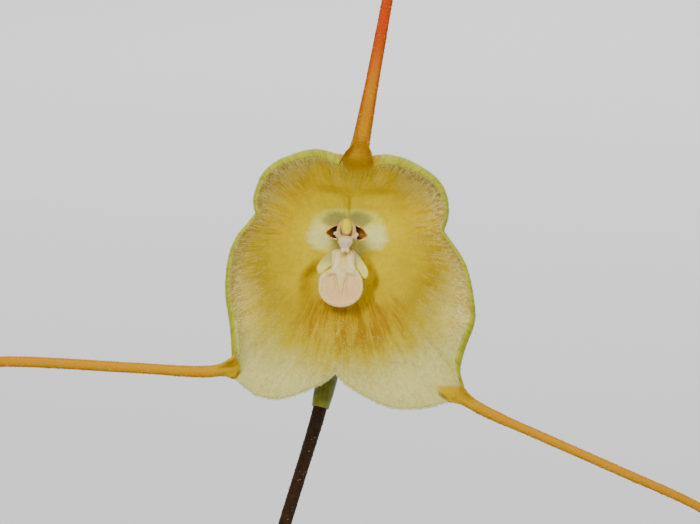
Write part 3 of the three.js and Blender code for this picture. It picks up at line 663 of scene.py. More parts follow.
def curl_from(main):
    """The curl as rows of (radius, height, turn), from the end of the bowl to the margin."""
    slope = (height_at(main, main) - height_at(main - 0.4, main)) / 0.4
    first = np.arctan(rounded_round(slope, 2))
    last = np.radians(rim_curls[:, 1])
    step = rim_curls[:, 0] / CURL_ROWS
    radius, z, rows = main.copy(), height_at(main, main), []
    for i in range(1, CURL_ROWS + 1):
        turn = first + (last - first) * (i - 0.5) / CURL_ROWS
        radius = radius + np.cos(turn) * step
        z = z + np.sin(turn) * step
        rows.append((radius, z, first + (last - first) * i / CURL_ROWS))
    return rows


main = full.copy()
for _ in range(5):
    widest = np.max([r + THICK_MARGIN * np.sin(turn) for r, _, turn in curl_from(main)], axis=0)
    main = main - (np.maximum(widest, main) - full)

rows = []
for share in (np.arange(1, BOWL_ROWS + 1) / BOWL_ROWS) ** 0.9:
    radius = main * share
    turn = np.arctan((height_at(radius, main) - height_at(radius - 0.3, main)) / 0.3)
    rows.append((radius, height_at(radius, main), turn, share * np.ones(COLUMNS)))
for i, (radius, z, turn) in enumerate(curl_from(main)):
    rows.append((radius, z, turn, np.full(COLUMNS, 1 + (i + 1) / CURL_ROWS)))
row_radius, row_z, row_turn, row_share = (np.array(column) for column in zip(*rows))
thickness = THICK_MIDDLE + (THICK_MARGIN - THICK_MIDDLE) * smooth(0.7, 1.4, row_share)


def cup_points(radius, z):
    """Flower-frame points (rows, columns, 3) from distances and heights."""
    flat = np.array(CUP_MIDDLE) + outward[None] * radius[..., None]
    return np.concatenate([flat, z[..., None]], axis=2)


front = cup_points(row_radius, row_z)
back = cup_points(row_radius + thickness * np.sin(row_turn), row_z - thickness * np.cos(row_turn))
last_turn = row_turn[-1:]
growth = np.concatenate([np.cos(last_turn)[..., None] * outward[None], np.sin(last_turn)[..., None]], axis=2)
lip_of_rim = (front[-1:] + back[-1:]) / 2 + (0.14 - 0.10 * bottom)[:, None] * growth
print("cup rows:", front.shape, "deepest", round(front[..., 2].min(), 2), "mm")

# %% [markdown]
# The tails grow out of the rim: at each root the rim's edge is left open, and a sleeve is drawn from there
# along the tail's path, which starts at the depth of the root. It keeps the form of the root at first, then
# rounds off and tapers to a thin tip; a thick root stays flatter than it is wide. The points of the root
# are the same in both pieces, so merging them makes one skin.

# %% Tails and the whole skin
TAILS = [
    dict(path=[(13.6, -16.9), (17, -19, -0.4), (25, -22.6, -0.2), (35, -27.0, 0), (45, -31.6, -1),
               (55, -38, -2.6), (60, -43, -3.6)],
         radii=[0.86, 0.61, 0.6, 0.6, 0.56, 0.52, 0.42], top=0, flare=3.4, tongue=(1.65, 0.5, -23, 0.33)),
    dict(path=[(-15.0, -13.7), (-18.5, -14.1, -0.4), (-28, -13.6, -0.2), (-45, -12.8, 0), (-55, -13.6, -1),
               (-64, -18, -2.4), (-67, -22, -3.4)],
         radii=[0.84, 0.68, 0.69, 0.69, 0.65, 0.56, 0.42], top=0, flare=3.0, tongue=(0.5, 0.6, 180, 0)),
    dict(path=[(1.0, 13.6), (1.6, 16.5, -0.9), (3.15, 24.7, -0.2), (4.8, 33.7, -2.2), (6.8, 45, -6),
               (10, 57, -8), (13, 63, -8.5)],
         radii=[1.25, 0.9, 0.75, 0.65, 0.58, 0.51, 0.4], top=1, flare=3.4, tongue=(1.2, 1.3, 78, 0)),
]
TAIL_ROWS = 110
TAIL_DEPTH = 0.72


def nearest_turn(ring, loop):
    """The ring started at the point, and run in the direction, that leaves it closest to the loop."""
    options = [np.roll(run, -shift, axis=0) for run in (ring, ring[::-1]) for shift in range(len(ring))]
    return min(options, key=lambda run: ((run - loop) ** 2).sum())


def tail_rings(tail, loop):
    """Rings from the root's loop to the tip, with the middle line's points."""
    shares = (np.arange(1, TAIL_ROWS + 1) / TAIL_ROWS) ** 1.5
    root_middle = loop.mean(0)
    path = [(*tail["path"][0], root_middle[2]), *tail["path"][1:]]
    middles = line_through(path, shares)
    tangents = unit(line_through(path, np.minimum(shares + 0.004, 1))
                    - line_through(path, np.minimum(shares + 0.004, 1) - 0.008))
    across = unit(loop[0] - loop[TAIL_COLUMNS])
    stops = np.linspace(0, 1, len(tail["radii"]))
    count = len(loop)
    turns = np.pi * (np.arange(count) + 0.5) / (count / 2) - np.pi / 2
    rings = [loop]
    length = np.linalg.norm(np.diff(middles, axis=0), axis=1).sum()
    for share, middle, tangent in zip(shares, middles, tangents):
        sideways = unit(across - tangent * across.dot(tangent))
        up = np.cross(tangent, sideways)
        radius = np.interp(share, stops, tail["radii"])
        depth = min(radius, TAIL_DEPTH)
        ring = middle + radius * np.sin(turns)[:, None] * sideways + depth * np.cos(turns)[:, None] * up
        rest = 1 - min(share * length / tail["flare"], 1)
        carried = (loop - root_middle) * (0.5 + 0.5 * rest**2) + middle
        rounded = 1 - rest**2 * (3 - 2 * rest)
        rings.append(carried + (nearest_turn(ring, carried) - carried) * rounded)
    return np.array(rings), np.vstack([root_middle, middles])


def from_tongue(tail, root, points):
    """How far points lie outside the patch of the tail's colour, then along and across the tail."""
    length, width, heading, lower = tail["tongue"]
    growing = np.array([math.cos(math.radians(heading)), math.sin(math.radians(heading))])
    away = points[..., :2] - root
    along, across = away @ growing, away @ np.array([-growing[1], growing[0]]) + lower
    widening = width * (1 + 0.6 * smooth(-length, 0.1, along))
    return np.hypot(along / length, across / widening) - 1, along, across


tail_roots = [
    front[-1, np.arange(start, start + TAIL_COLUMNS + 1) % COLUMNS].mean(0)[:2] for start in tail_starts
]
for tail, root in zip(TAILS, tail_roots):
    _, along, across = from_tongue(tail, root, front)
    length, width = tail["tongue"][:2]
    front[..., 2] += 0.45 * np.exp(-((across / (0.75 * width)) ** 2)) * smooth(-1.3 * length, -0.1, along)
hub_front = np.broadcast_to([*CUP_MIDDLE, -CUP_DEPTH], front[:1].shape)
hub_back = np.broadcast_to([*CUP_MIDDLE, -CUP_DEPTH - THICK_MIDDLE], front[:1].shape)
skin_rows = np.concatenate([hub_front, front, lip_of_rim, back[::-1], hub_back])
half = len(front) + 1
row_outside = np.concatenate([np.zeros(half), [0.5], np.ones(half)])
row_reach = np.concatenate([[0], row_share[:, 0], [2.05], row_share[::-1, 0], [0]])
tongues = [from_tongue(tail, root, skin_rows)[0] for tail, root in zip(TAILS, tail_roots)]
from_root = np.min(tongues, axis=0)
at_top = smooth(11, 12.5, skin_rows[..., 1])
cup = roll_skin("sepal_cup", in_row(skin_rows), {
    "outside": row_outside[:, None],
    "reach": row_reach[:, None],
    "tail_mm": -np.maximum(from_root, 0),
    "top_tail": at_top,
    "painted_side_shade": 0.0,
}, closed=False)
open_faces = set()
for start in tail_starts:
    for column in range(start, start + TAIL_COLUMNS):
        for row in (half - 1, half):
            open_faces.add(row * COLUMNS + column % COLUMNS)
cup.data.polygons.foreach_set("select", [i in open_faces for i in range(len(cup.data.polygons))])
tools = bpy.context.tool_settings
tools.mesh_select_mode = (False, False, True)
bpy.ops.object.mode_set(mode="EDIT")
bpy.ops.mesh.delete(type="ONLY_FACE")
bpy.ops.object.mode_set(mode="OBJECT")
tools.mesh_select_mode = (True, False, False)

tail_pieces, tail_lines = [], []
for number, (tail, start) in enumerate(zip(TAILS, tail_starts)):
    picks = np.arange(start, start + TAIL_COLUMNS + 1) % COLUMNS
    loop = np.concatenate([
        front[-1, picks], lip_of_rim[0, picks[-1:]], back[-1, picks[::-1]], lip_of_rim[0, picks[:1]]
    ])
    rings, middles = tail_rings(tail, loop)
    along = np.concatenate([[0], np.cumsum(np.linalg.norm(np.diff(middles, axis=0), axis=1))])
    tip = rings[-1].mean(0) + unit(middles[-1] - middles[-2]) * 0.5
    rings = np.concatenate([rings, np.broadcast_to(tip, rings[:1].shape)])
    along = np.append(along, along[-1] + 0.5)
    off = rings - rings.mean(1, keepdims=True)
    tail_pieces.append(roll_skin(f"tail_{number}", in_row(rings), {
        "outside": 0.5,
        "reach": 2.0,
        "tail_mm": along[:, None],
        "top_tail": tail["top"],
        "painted_side_shade": np.sqrt(1 - unit(off)[..., 2] ** 2),
    }, closed=False))
    tail_lines.append((rings, along))
pick(cup, *tail_pieces)
bpy.ops.object.join()
close_skin(cup)
print("sepals:", len(cup.data.polygons), "faces")

# %% [markdown]
# The inner face is yellow with paler and deeper zones: a pale green patch round the column, bright yellow
# around that, gold streaks below the lip, ochre above the brow, and cream with grey-purple dots towards the
# rim. Each zone is a mask worked out from the place on the flower, and the rays fray its edge. Shade is
# painted in too: the ochre above the brow and the grey-green above the column are partly painted shade, the
# lower face and the cup beside the knob are darkened as painted shade, and dark strokes paint the shade in
# the groove, the brow crease, the folds beside the lip and the creases at the tails' roots. The outside is
# yellow-green, with painted light on the downward-facing margin of the hanging lobes. The tails are orange,
# the top one redder towards its tip; their sides are darker as painted shade, and their papillae have
# partly painted highlights on their tips.

# %% Sepal finish
sepal_finish = new_finish(
    "sepal_finish", Roughness=0.7, Subsurface_Weight=0.15, Subsurface_Scale=0.0005,
    Subsurface_Radius=(1.0, 0.6, 0.15), Specular_IOR_Level=0.12)
point = flower_point()
x, y, _ = parts_of(point)
coarse = use_group(rays, {"Point": point, "Around": 9.0, "Outward": 0.2})
fine = use_group(rays, {"Point": point, "Around": 38.0, "Outward": 0.4})
finest = use_group(rays, {"Point": point, "Around": 80.0, "Outward": 1.3})


def swung(value, noise, amount):
    """A value pushed to and fro by a noise."""
    return value + (noise - 0.5) * amount


def power_of(value, centre, half, power):
    """How far a value lies from a centre, as a share of half, to a power."""
    away = (value - centre) / half
    return abs(away) ** power


def stroke(x, y, half_x, half_y, turn):
    """A soft oval mark on the face, turned by some degrees."""
    mark = add_node("Mapping", {
        "Vector": point, "Location": (x, y, 0), "Rotation": (0, 0, math.radians(turn)),
        "Scale": (half_x, half_y, 1000.0),
    }, vector_type="TEXTURE")[0]
    return ramp(add_node("VectorMath", {0: mark}, operation="LENGTH")["Value"], 1.0, 0.2)


streaky = coarse["Value"] * 0.55 + fine["Value"] * 0.45
radius = coarse["Radius"]
low_part = ramp(y, -3.0, -10.0)
high_part = ramp(y, 4.0, 9.0)
yellow = blend(ramp(swung(radius, streaky, 6.0), 8.8, 5.6), tint(0.76, 0.545, 0.0), tint(0.81, 0.625, 0.0))
yellow = blend(ramp(swung(radius, streaky, 6.0), 9.4, 12.0), yellow, tint(0.58, 0.395, 0.0))
gold = blend(ramp(streaky, 0.58, 0.42), tint(0.66, 0.43, 0.0), tint(0.48, 0.25, 0.0))
below_lip = ramp(swung(y, streaky, 8.0), -3.0, -7.5)
below_lip = below_lip * ramp(abs(swung(x, coarse["Value"], 4.0)), 9.0, 5.0)
colour = blend(below_lip, yellow, gold)
# Above the brow and on the upper sides the face is ochre: its own colour, and above the brow also painted
# shade where the face turns downwards.
ochre_side = ramp(abs(x) + y * 0.35, 7.6, 11.0)
ochre_side = ochre_side * ramp(y, 0.5, 5.0)
above_brow = ramp(swung(y, coarse["Value"], 1.6), 8.9, 10.1)
ochre_and_brow_shade = arithmetic("MAXIMUM", above_brow, ochre_side)
ochre_and_shade_colour = blend(ramp(coarse["Value"], 0.4, 0.6), tint(0.66, 0.43, 0.0), tint(0.82, 0.57, 0.0))
colour = blend(ochre_and_brow_shade * 0.85, colour, ochre_and_shade_colour)

beside_tail = ramp(abs(x - 0.5), 2.0, 6.5)
cream_from = 14.0 + low_part * 2.7
cream_from = cream_from - high_part * beside_tail * 3.4
past_cream = swung(radius, streaky, 8.0) - cream_from
cream = ramp(past_cream, -2.2, 1.6)
cream_colour = blend(low_part, tint(0.74, 0.61, 0.11), tint(0.76, 0.67, 0.15))
cream_colour = blend(high_part, cream_colour, tint(0.72, 0.59, 0.12))
palest = ramp(past_cream, 0.4, 3.4) * low_part
cream_colour = blend(palest, cream_colour, tint(0.86, 0.80, 0.24))
blush = ramp(finest["Value"], 0.46, 0.62) * 0.25
cream_colour = blend(blush, cream_colour, tint(0.50, 0.36, 0.11))
green_wash = ramp(past_cream, -4.6, -1.4) * 0.6
colour = blend(green_wash * low_part, colour, tint(0.70, 0.58, 0.02))
speckle = noise(point, 1.5, 3.0)
speckle = ramp(speckle, 0.52, 0.68) * (0.45 - palest * 0.33)
cream_colour = blend(speckle, cream_colour, tint(0.46, 0.34, 0.13))
colour = blend(cream, colour, cream_colour)
reach = attribute("reach")
flanks = ramp(y, -11.0, -7.5)
streaked = ramp(reach, 0.60, 0.80) * flanks
colour = blend(streaked * ramp(fine["Value"], 0.52, 0.60), colour, tint(0.70, 0.52, 0.07))
streaked = streaked * ramp(y, -3.0, 3.0)
colour = blend(streaked * ramp(fine["Value"], 0.46, 0.36), colour, tint(0.56, 0.36, 0.0))
hatched = ramp(reach, 0.87, 0.95) * flanks
hatch = hatched * ramp(finest["Value"], 0.47, 0.40)
colour = blend(hatch * 0.7, colour, tint(0.86, 0.72, 0.34))
hatch = hatched * ramp(finest["Value"], 0.51, 0.58)
hatch = hatch * (0.35 + high_part * 0.4)
colour = blend(hatch, colour, tint(0.28, 0.185, 0.05))
# Painted shade: from the column downwards the face is darkened, up to a fifth of the way to black, except on
# the outer part of the hanging lobes.
lower_face_painted_shade = ramp(y, 5.0, -3.0) * 0.22
lower_face_painted_shade = lower_face_painted_shade * (1.0 - ramp(y, -11.0, -7.0) * ramp(reach, 0.7, 0.95))
colour = blend(lower_face_painted_shade, colour, tint(0.0, 0.0, 0.0))

from_column = power_of(x, -0.4, 4.8, 3.2) + power_of(y, 4.1, 2.9, 3.2)
pale = ramp(swung(from_column, coarse["Value"], 0.7), 1.4, 0.5)
colour = blend(pale, colour, tint(0.90, 0.87, 0.12))
mirrored = abs(x + 0.35)
from_spot = power_of(mirrored, 3.5, 1.8, 2.0) + power_of(y, 3.3, 1.7, 2.0)
colour = blend(ramp(swung(from_spot, coarse["Value"], 1.2), 1.6, 0.0), colour, tint(0.95, 0.95, 0.34))
# On each side above the column the face turns grey-green: partly its own colour, partly painted shadow.
grey_green_and_shade = power_of(mirrored, 1.5, 1.8, 2.0) + power_of(y, 5.6, 1.05, 2.0)
grey_green_and_shade = ramp(swung(grey_green_and_shade, coarse["Value"], 1.0), 1.5, 0.2) * 0.85
colour = blend(grey_green_and_shade, colour, tint(0.38, 0.35, 0.10))
# Painted shade: beside the knob the cup is dimmed to grey-beige.
painted_shade_beside_knob = power_of(mirrored, 1.0, 1.4, 2.0) + power_of(y, 1.6, 1.3, 2.0)
painted_shade_beside_knob = ramp(painted_shade_beside_knob, 1.4, 0.2) * 0.6
colour = blend(painted_shade_beside_knob, colour, tint(0.50, 0.44, 0.20))
# Dark strokes: painted shade in the groove up the top sepal, in the folds of the funnel beside the lip and in
# the brow crease; the last stroke darkens the top below the top tail's root.
for mark, depth, shade in (
    (stroke(-0.1, 7.4, 0.4, 2.0, 0), 0.6, tint(0.40, 0.27, 0.0)),
    (stroke(-5.2, -1.0, 1.1, 2.4, -42), 0.55, tint(0.42, 0.24, 0.0)),
    (stroke(-6.1, -3.4, 0.8, 2.4, 4), 0.3, tint(0.46, 0.26, 0.0)),
    (stroke(2.9, -0.9, 0.7, 2.2, 24), 0.5, tint(0.46, 0.27, 0.0)),
    (stroke(3.4, -2.7, 0.6, 1.4, -4), 0.75, tint(0.34, 0.17, 0.0)),
    (stroke(2.8, -4.6, 0.5, 1.9, -12), 0.4, tint(0.44, 0.24, 0.0)),
    (stroke(-2.4, 9.45, 3.2, 0.7, -6), 0.3, tint(0.44, 0.26, 0.0)),
    (stroke(3.6, 9.2, 3.2, 0.7, 0), 0.3, tint(0.44, 0.26, 0.0)),
    (stroke(0.8, 11.9, 3.4, 2.4, 0), 0.45, tint(0.42, 0.26, 0.0)),
):
    colour = blend(mark * depth, colour, shade)
colour = mottled(colour, point, 1.6, 0.1)["Color"]

outside = attribute("outside")
outer_colour = blend(ramp(reach, 0.9, 1.6), tint(0.40, 0.32, 0.04), tint(0.47, 0.47, 0.02))
outer_colour = blend(ramp(fine["Value"], 0.45, 0.65), outer_colour, tint(0.34, 0.31, 0.01))
# Painted light: the downward-facing margin of the hanging lobes is painted pale cream, as if it were lit from
# the front.
painted_light_on_margin = ramp(reach, 1.5, 1.9) * ramp(y, -13.6, -14.6) * ramp(x, 13.6, 12.9)
outer_colour = blend(painted_light_on_margin, outer_colour, tint(0.85, 0.82, 0.36))
colour = blend(ramp(outside, 0.2, 0.6), colour, outer_colour)

tail_mm = attribute("tail_mm")
# Painted shade: the sides of the tails, which turn away from the face, are darker and redder.
painted_side_shade = ramp(attribute("painted_side_shade"), 0.45, 0.97) * 0.8
top_tail = attribute("top_tail")
side_tail_colour = blend(ramp(tail_mm, 3.0, 55.0), tint(0.62, 0.29, 0.0), tint(0.62, 0.24, 0.0))
side_tail_colour = blend(painted_side_shade, side_tail_colour, tint(0.46, 0.15, 0.0))
side_tail_colour = blend(ramp(tail_mm, 5.0, 0.0), side_tail_colour, tint(0.60, 0.39, 0.0))
top_tail_colour = blend(ramp(tail_mm, 0.0, 8.0), tint(0.47, 0.24, 0.0), tint(0.60, 0.22, 0.0))
top_tail_colour = blend(ramp(tail_mm, 8.0, 17.0), top_tail_colour, tint(0.54, 0.05, 0.0))
top_tail_shaded_side = blend(ramp(tail_mm, 1.0, 7.0), tint(0.34, 0.15, 0.0), tint(0.44, 0.06, 0.0))
top_tail_colour = blend(painted_side_shade, top_tail_colour, top_tail_shaded_side)
tail_colour = blend(top_tail, side_tail_colour, top_tail_colour)
# The tips of the tails' papillae are paler: partly their own colour, partly painted highlight.
speckle = use_group(papillae, {"Point": point, "Per_mm": 3.4})
tail_colour = blend(speckle["Tip"] * 0.2, tail_colour, tint(0.80, 0.42, 0.01))
colour = blend(ramp(tail_mm, -0.8, 0.0), colour, tail_colour)
# Painted shadow: dark strokes in the creases where the tails' roots meet the lobes.
for crease, depth, shade in (
    (stroke(12.0, -17.3, 1.35, 0.42, -40), 0.9, tint(0.26, 0.13, 0.0)),
    (stroke(-14.4, -14.4, 0.95, 0.36, 54), 0.9, tint(0.26, 0.15, 0.0)),
    (stroke(-15.1, -14.95, 0.85, 0.34, 14), 0.8, tint(0.26, 0.15, 0.0)),
    (stroke(-15.4, -12.95, 1.1, 0.36, 27), 0.65, tint(0.38, 0.14, 0.0)),
    (stroke(15.4, -17.3, 1.5, 0.3, -38), 0.5, tint(0.38, 0.14, 0.0)),
):
    colour = blend(crease * depth, colour, shade)
give(Base_Color=colour)

down = use_group(papillae, {"Point": point, "Per_mm": 4.2})
emboss(down["Height"], 0.5, 0.00012)
settle(cup, sepal_finish, "sepal", "sepals")

# %% [markdown]
# Close up, the flower is rough: pale and purple-grey warts stand in rows that run out to the rim, dark
# dashes line the rim's inner edge, the hanging lobes are downy with a fringe of hairs, and the green
# outside and the tails are covered with blunt bumps. All of them sit on the skin: a place is a row and a
# column of its grid.

# %% Places on the skin
chance_draw = np.random.default_rng(11)


def on_skin(grid, rows, columns):
    """Points, normals and directions along the rows, at fractional rows and columns of a grid."""
    def at(row, column):
        row = np.clip(row, 0, len(grid) - 1.001)
        low, left = np.floor(row).astype(int), np.floor(column).astype(int)
        down, over = (row - low)[:, None], (column - left)[:, None]
        here, there = left % grid.shape[1], (left + 1) % grid.shape[1]
        upper = grid[low, here] * (1 - over) + grid[low, there] * over
        lower = grid[low + 1, here] * (1 - over) + grid[low + 1, there] * over
        return upper * (1 - down) + lower * down
    along = at(rows + 0.4, columns) - at(rows - 0.4, columns)
    around = at(rows, columns + 0.5) - at(rows, columns - 0.5)
    return at(rows, columns), unit(np.cross(around, along)), unit(along)


front_run = np.cumsum(np.linalg.norm(np.diff(front, axis=0, prepend=front[:1]), axis=2), axis=0)
rim_loop = np.vstack([rim_points, rim_points[:1]])
rim_run = np.concatenate([[0], np.cumsum(np.linalg.norm(np.diff(rim_loop, axis=0), axis=1))])


def rays_of(gap, step, first, last, jitter):
    """Rows and columns of points in lines that run outwards. first and last are shares, per column."""
    rows, columns = [], []
    for place in np.arange(0, rim_run[-1], gap):
        column = np.interp(place, rim_run, np.arange(COLUMNS + 1))
        near = int(column) % COLUMNS
        start, stop = np.interp([first[near], last[near]], row_share[:, near], front_run[:, near])
        spots = np.arange(start + step * chance_draw.random(), stop, step)
        spots = spots + step * jitter * (chance_draw.random(len(spots)) - 0.5)
        rows.append(np.interp(spots, front_run[:, near], np.arange(len(front))))
        columns.append(column + jitter * gap * (chance_draw.random(len(spots)) - 0.5))
    return np.concatenate(rows), np.concatenate(columns)


def away_from_tails(places, gap):
    """Which places keep their distance from the roots of the tails."""
    return np.min([np.linalg.norm(places[:, :2] - root, axis=1) for root in tail_roots], axis=0) > gap


def bumps(shape, name, place, directions, widths, lengths, finish):
    """Copies of a shape on the flower, placed in its own frame, as one finished piece."""
    piece = copies_of(
        shape, name, np.einsum("ij,njk->nik", BLOOM_AXES.T * MM, aim(
            directions, widths, lengths, chance_draw.random(len(place)) * 2 * np.pi)),
        in_row(place), chance_draw.random(len(place)),
    )
    settle(piece, finish, "sepal")


print("the rim is", round(rim_run[-1], 1), "mm round")

# %% [markdown]
# The warts are cream or purple-brown, and so are the dashes at the rim. The hairs are pale; those of the
# green outside are yellower.

# %% Finishes of warts and hairs
wart_finish = new_finish("wart_finish", Roughness=0.5, Specular_IOR_Level=0.4)
chance = attribute("chance")
colour = blend(ramp(chance, 0.55, 0.65), tint(0.78, 0.66, 0.24), tint(0.42, 0.28, 0.10))
colour = blend(ramp(chance, 0.15, 0.1), colour, tint(0.82, 0.62, 0.10))
give(Base_Color=colour)

dash_finish = new_finish("dash_finish", Roughness=0.5)
chance = attribute("chance")
colour = blend(ramp(chance, 0.45, 0.55), tint(0.27, 0.17, 0.05), tint(0.76, 0.62, 0.27))
give(Base_Color=colour)

hair_finishes = []
for name, low, high in (
    ("pale_hair_finish", tint(0.82, 0.80, 0.24), tint(0.94, 0.93, 0.48)),
    ("green_hair_finish", tint(0.44, 0.43, 0.04), tint(0.76, 0.74, 0.24)),
):
    hair_finishes.append(new_finish(name, Roughness=0.4, Specular_IOR_Level=0.4))
    give(Base_Color=blend(attribute("chance"), low, high))
pale_hair_finish, green_hair_finish = hair_finishes

tail_wart_finish = new_finish("tail_wart_finish", Roughness=0.35)
chance = attribute("chance")
_, y, _ = parts_of(flower_point())
colour = blend(ramp(y, 14.0, 32.0), tint(0.68, 0.32, 0.0), tint(0.58, 0.08, 0.0))
colour = blend(chance * 0.25, colour, tint(0.80, 0.50, 0.04))
give(Base_Color=colour)
print("finishes of warts and hairs are ready")

# %% Warts and dashes on the face
wart_from = 0.72 * top + 0.66 * side + 0.74 * bottom
rows, columns = rays_of(0.30, 0.36, wart_from, np.full(COLUMNS, 1.3), 0.95)
place, normal, along = on_skin(front, rows, columns)
share_there = np.interp(rows, np.arange(len(front)), row_share[:, 0])
first_share = wart_from[columns.astype(int) % COLUMNS]
likely = np.clip((share_there - first_share) / 0.24, 0.04, 1) * np.where(place[:, 1] < -11.5, 0.3, 0.9)
keep = away_from_tails(place, 2.2) & (chance_draw.random(len(place)) < likely)
place, normal, along = place[keep], normal[keep], along[keep]
size = 0.030 + 0.022 * chance_draw.random(len(place))
lengths = size * (3 + 3 * chance_draw.random(len(place)))
bumps(wart_shape, "face_warts", place - 0.01 * normal, along, size, lengths, wart_finish)


rows, columns = rays_of(0.27, 0.42, np.full(COLUMNS, 0.92), np.full(COLUMNS, 1.35), 0.8)
place, normal, along = on_skin(front, rows, columns)
share_there = np.interp(rows, np.arange(len(front)), row_share[:, 0])
likely = 0.8 * np.clip((share_there - 0.9) / 0.1, 0, 1) * smooth(-12.5, -8, place[:, 1])
keep = away_from_tails(place, 3.0) & (chance_draw.random(len(place)) < likely)
place, normal, along = place[keep], normal[keep], along[keep]
lengths = 0.22 + 0.26 * chance_draw.random(len(place))
bumps(wart_shape, "rim_dashes", place - 0.015 * normal, along, 0.045, lengths, dash_finish)

columns = np.interp(np.arange(0, rim_run[-1], 0.24), rim_run, np.arange(COLUMNS + 1))
columns = columns[rim_curls[columns.astype(int) % COLUMNS, 1] > 80]
rim_grid = np.concatenate([front[-1:], lip_of_rim, back[-1:]])
place, normal, along = on_skin(rim_grid, np.full(len(columns), 0.9), columns)
keep = away_from_tails(place, 1.6)
towards = growth[0, columns.astype(int) % COLUMNS] + 0.25 * chance_draw.standard_normal((len(columns), 3))
bumps(hair_shape, "margin_teeth", place[keep], towards[keep], 0.06, 0.26, green_hair_finish)

# %% [markdown]
# The fringe stands on the rim of the two hanging lobes in small tufts. Down lies on their faces, leaning
# outwards. Short hairs cover the green outside, thickest on the band that shows beside the face.

# %% Hairs
flap = np.where(bottom > 0.35)[0]
count = 4600
columns = chance_draw.choice(flap, count) + chance_draw.random(count)
columns = columns + 0.25 * np.sin(columns * 3.1)
place, _, _ = on_skin(rim_grid, 0.2 + 0.8 * chance_draw.random(count), columns)
grown = growth[0, columns.astype(int) % COLUMNS] + 0.45 * chance_draw.standard_normal((count, 3))
grown = unit(grown + np.array([0, 0, 0.35]))
keep = away_from_tails(place, 1.3)
lengths = (0.28 + 0.40 * chance_draw.random(count)) * (0.80 + 0.20 * np.sin(columns * 5.0))
bumps(hair_shape, "rim_fringe", place[keep], grown[keep], 0.032, lengths[keep], pale_hair_finish)

count = 4200
columns = chance_draw.choice(np.where(bottom > 0.1)[0], count) + chance_draw.random(count)
rows = np.interp(0.62 + 1.36 * chance_draw.random(count) ** 1.3, row_share[:, 0], np.arange(len(front)))
place, normal, along = on_skin(front, rows, columns)
lean = 0.55 * normal + 0.7 * along + 0.35 * chance_draw.standard_normal((count, 3))
lengths = 0.14 + 0.14 * chance_draw.random(count)
keep = away_from_tails(place, 1.6)
bumps(hair_shape, "lobe_down", place[keep], lean[keep], 0.019, lengths[keep], pale_hair_finish)

count = 9000
columns = COLUMNS * chance_draw.random(count)
reach_share = np.where(chance_draw.random(count) < 0.72, 1.0 + chance_draw.random(count),
                       chance_draw.random(count) ** 0.5)
rows = np.interp(reach_share, row_share[:, 0], np.arange(len(front)))
place, normal, along = on_skin(back, rows, columns)
spread = 0.35 * chance_draw.standard_normal((count, 3))
lengths = (0.10 + 0.12 * chance_draw.random(count)) * (1 - 0.35 * (bottom[columns.astype(int)] > 0.5))
keep = away_from_tails(place, 1.2) & ((bottom[columns.astype(int)] < 0.3) | (reach_share < 1.6))
lean = spread - normal
bumps(hair_shape, "outer_hairs", place[keep], lean[keep], 0.026, lengths[keep], green_hair_finish)

places, directions, sizes = [], [], []
for rings, along in tail_lines:
    count = 1300
    rows = np.interp(along[-1] * chance_draw.random(count) ** 1.15, along, np.arange(len(rings)))
    rows = np.clip(rows, 1, len(rings) - 2.5)
    place, _, _ = on_skin(rings, rows, rings.shape[1] * chance_draw.random(count))
    middle = on_skin(rings.mean(1, keepdims=True), rows, np.zeros(count))[0]
    places.append(place)
    directions.append(unit(place - middle))
    sizes.append(0.055 + 0.035 * chance_draw.random(count))
places, directions, sizes = np.concatenate(places), np.concatenate(directions), np.concatenate(sizes)
bumps(wart_shape, "tail_warts", places, directions, sizes, sizes * 1.5, tail_wart_finish)

# %% [markdown]
# ## The parts in the cup
# The column, the petals and the lip are only a few millimetres across, too fine for a remesh in metres. So
# they are modelled in millimetres in the flower's own frame, and one step at the end carries them into
# place.

# %% Small parts: helpers
TO_ROW = Matrix.Translation(tuple(BLOOM_CENTRE * MM)) @ Matrix((BLOOM_AXES.T * MM).tolist()).to_4x4()


def ball(name, middle, radii):
    """A stretched ball, in the flower's frame."""
    clear_selection()
    bpy.ops.mesh.primitive_uv_sphere_add(segments=48, ring_count=28, radius=1)
    piece = bpy.context.object
    piece.name = name
    with whole_mesh():
        bpy.ops.transform.resize(value=radii)
        bpy.ops.transform.translate(value=middle)
    return piece


def sleeve(name, path, radii, rows):
    """A closed tube along a smooth line; radii are even stops along it."""
    shares = np.linspace(0, 1, rows)
    reach = np.interp(shares, np.linspace(0, 1, len(radii)), radii)
    return roll_skin(name, with_ends(tube_rings(line_through(path, shares), reach, 32)))


def closed_outline(points, count):
    """Evenly spaced points on a smooth closed line through the given points, in the plane of the face."""
    loop = np.array([(*p, 0.0) for p in [*points[-2:], *points, *points[:2]]])
    fine = line_through(loop, np.linspace(0, 1, 800))[:, :2]
    first = np.argmin(np.linalg.norm(fine[:400] - points[0], axis=1))
    last = 400 + np.argmin(np.linalg.norm(fine[400:] - points[0], axis=1))
    fine = fine[first:last + 1]
    run = np.concatenate([[0], np.cumsum(np.linalg.norm(np.diff(fine, axis=0), axis=1))])
    stops = np.arange(count) / count * run[-1]
    return np.stack([np.interp(stops, run, fine[:, k]) for k in range(2)], axis=1)


def fused(name, pieces, voxel, passes):
    """Joins pieces into one skin by a voxel remesh, and softens it."""
    pick(*pieces)
    if len(pieces) > 1:
        bpy.ops.object.join()
    piece = bpy.context.object
    piece.name = name
    for kind, values in (
        ("REMESH", dict(mode="VOXEL", voxel_size=voxel)), ("SMOOTH", dict(factor=0.5, iterations=passes)),
    ):
        modifier = piece.modifiers.new(kind.lower(), kind)
        for key, value in values.items():
            setattr(modifier, key, value)
        bpy.ops.object.modifier_apply(modifier=modifier.name)
    bpy.ops.object.shade_smooth()
    clear_selection()
    return piece


def carry(piece):
    """Takes a piece from the flower's frame, in millimetres, to its place in the row frame."""
    piece.data.transform(TO_ROW)
    piece.data.update()
    return piece


print("helpers for small parts are ready")

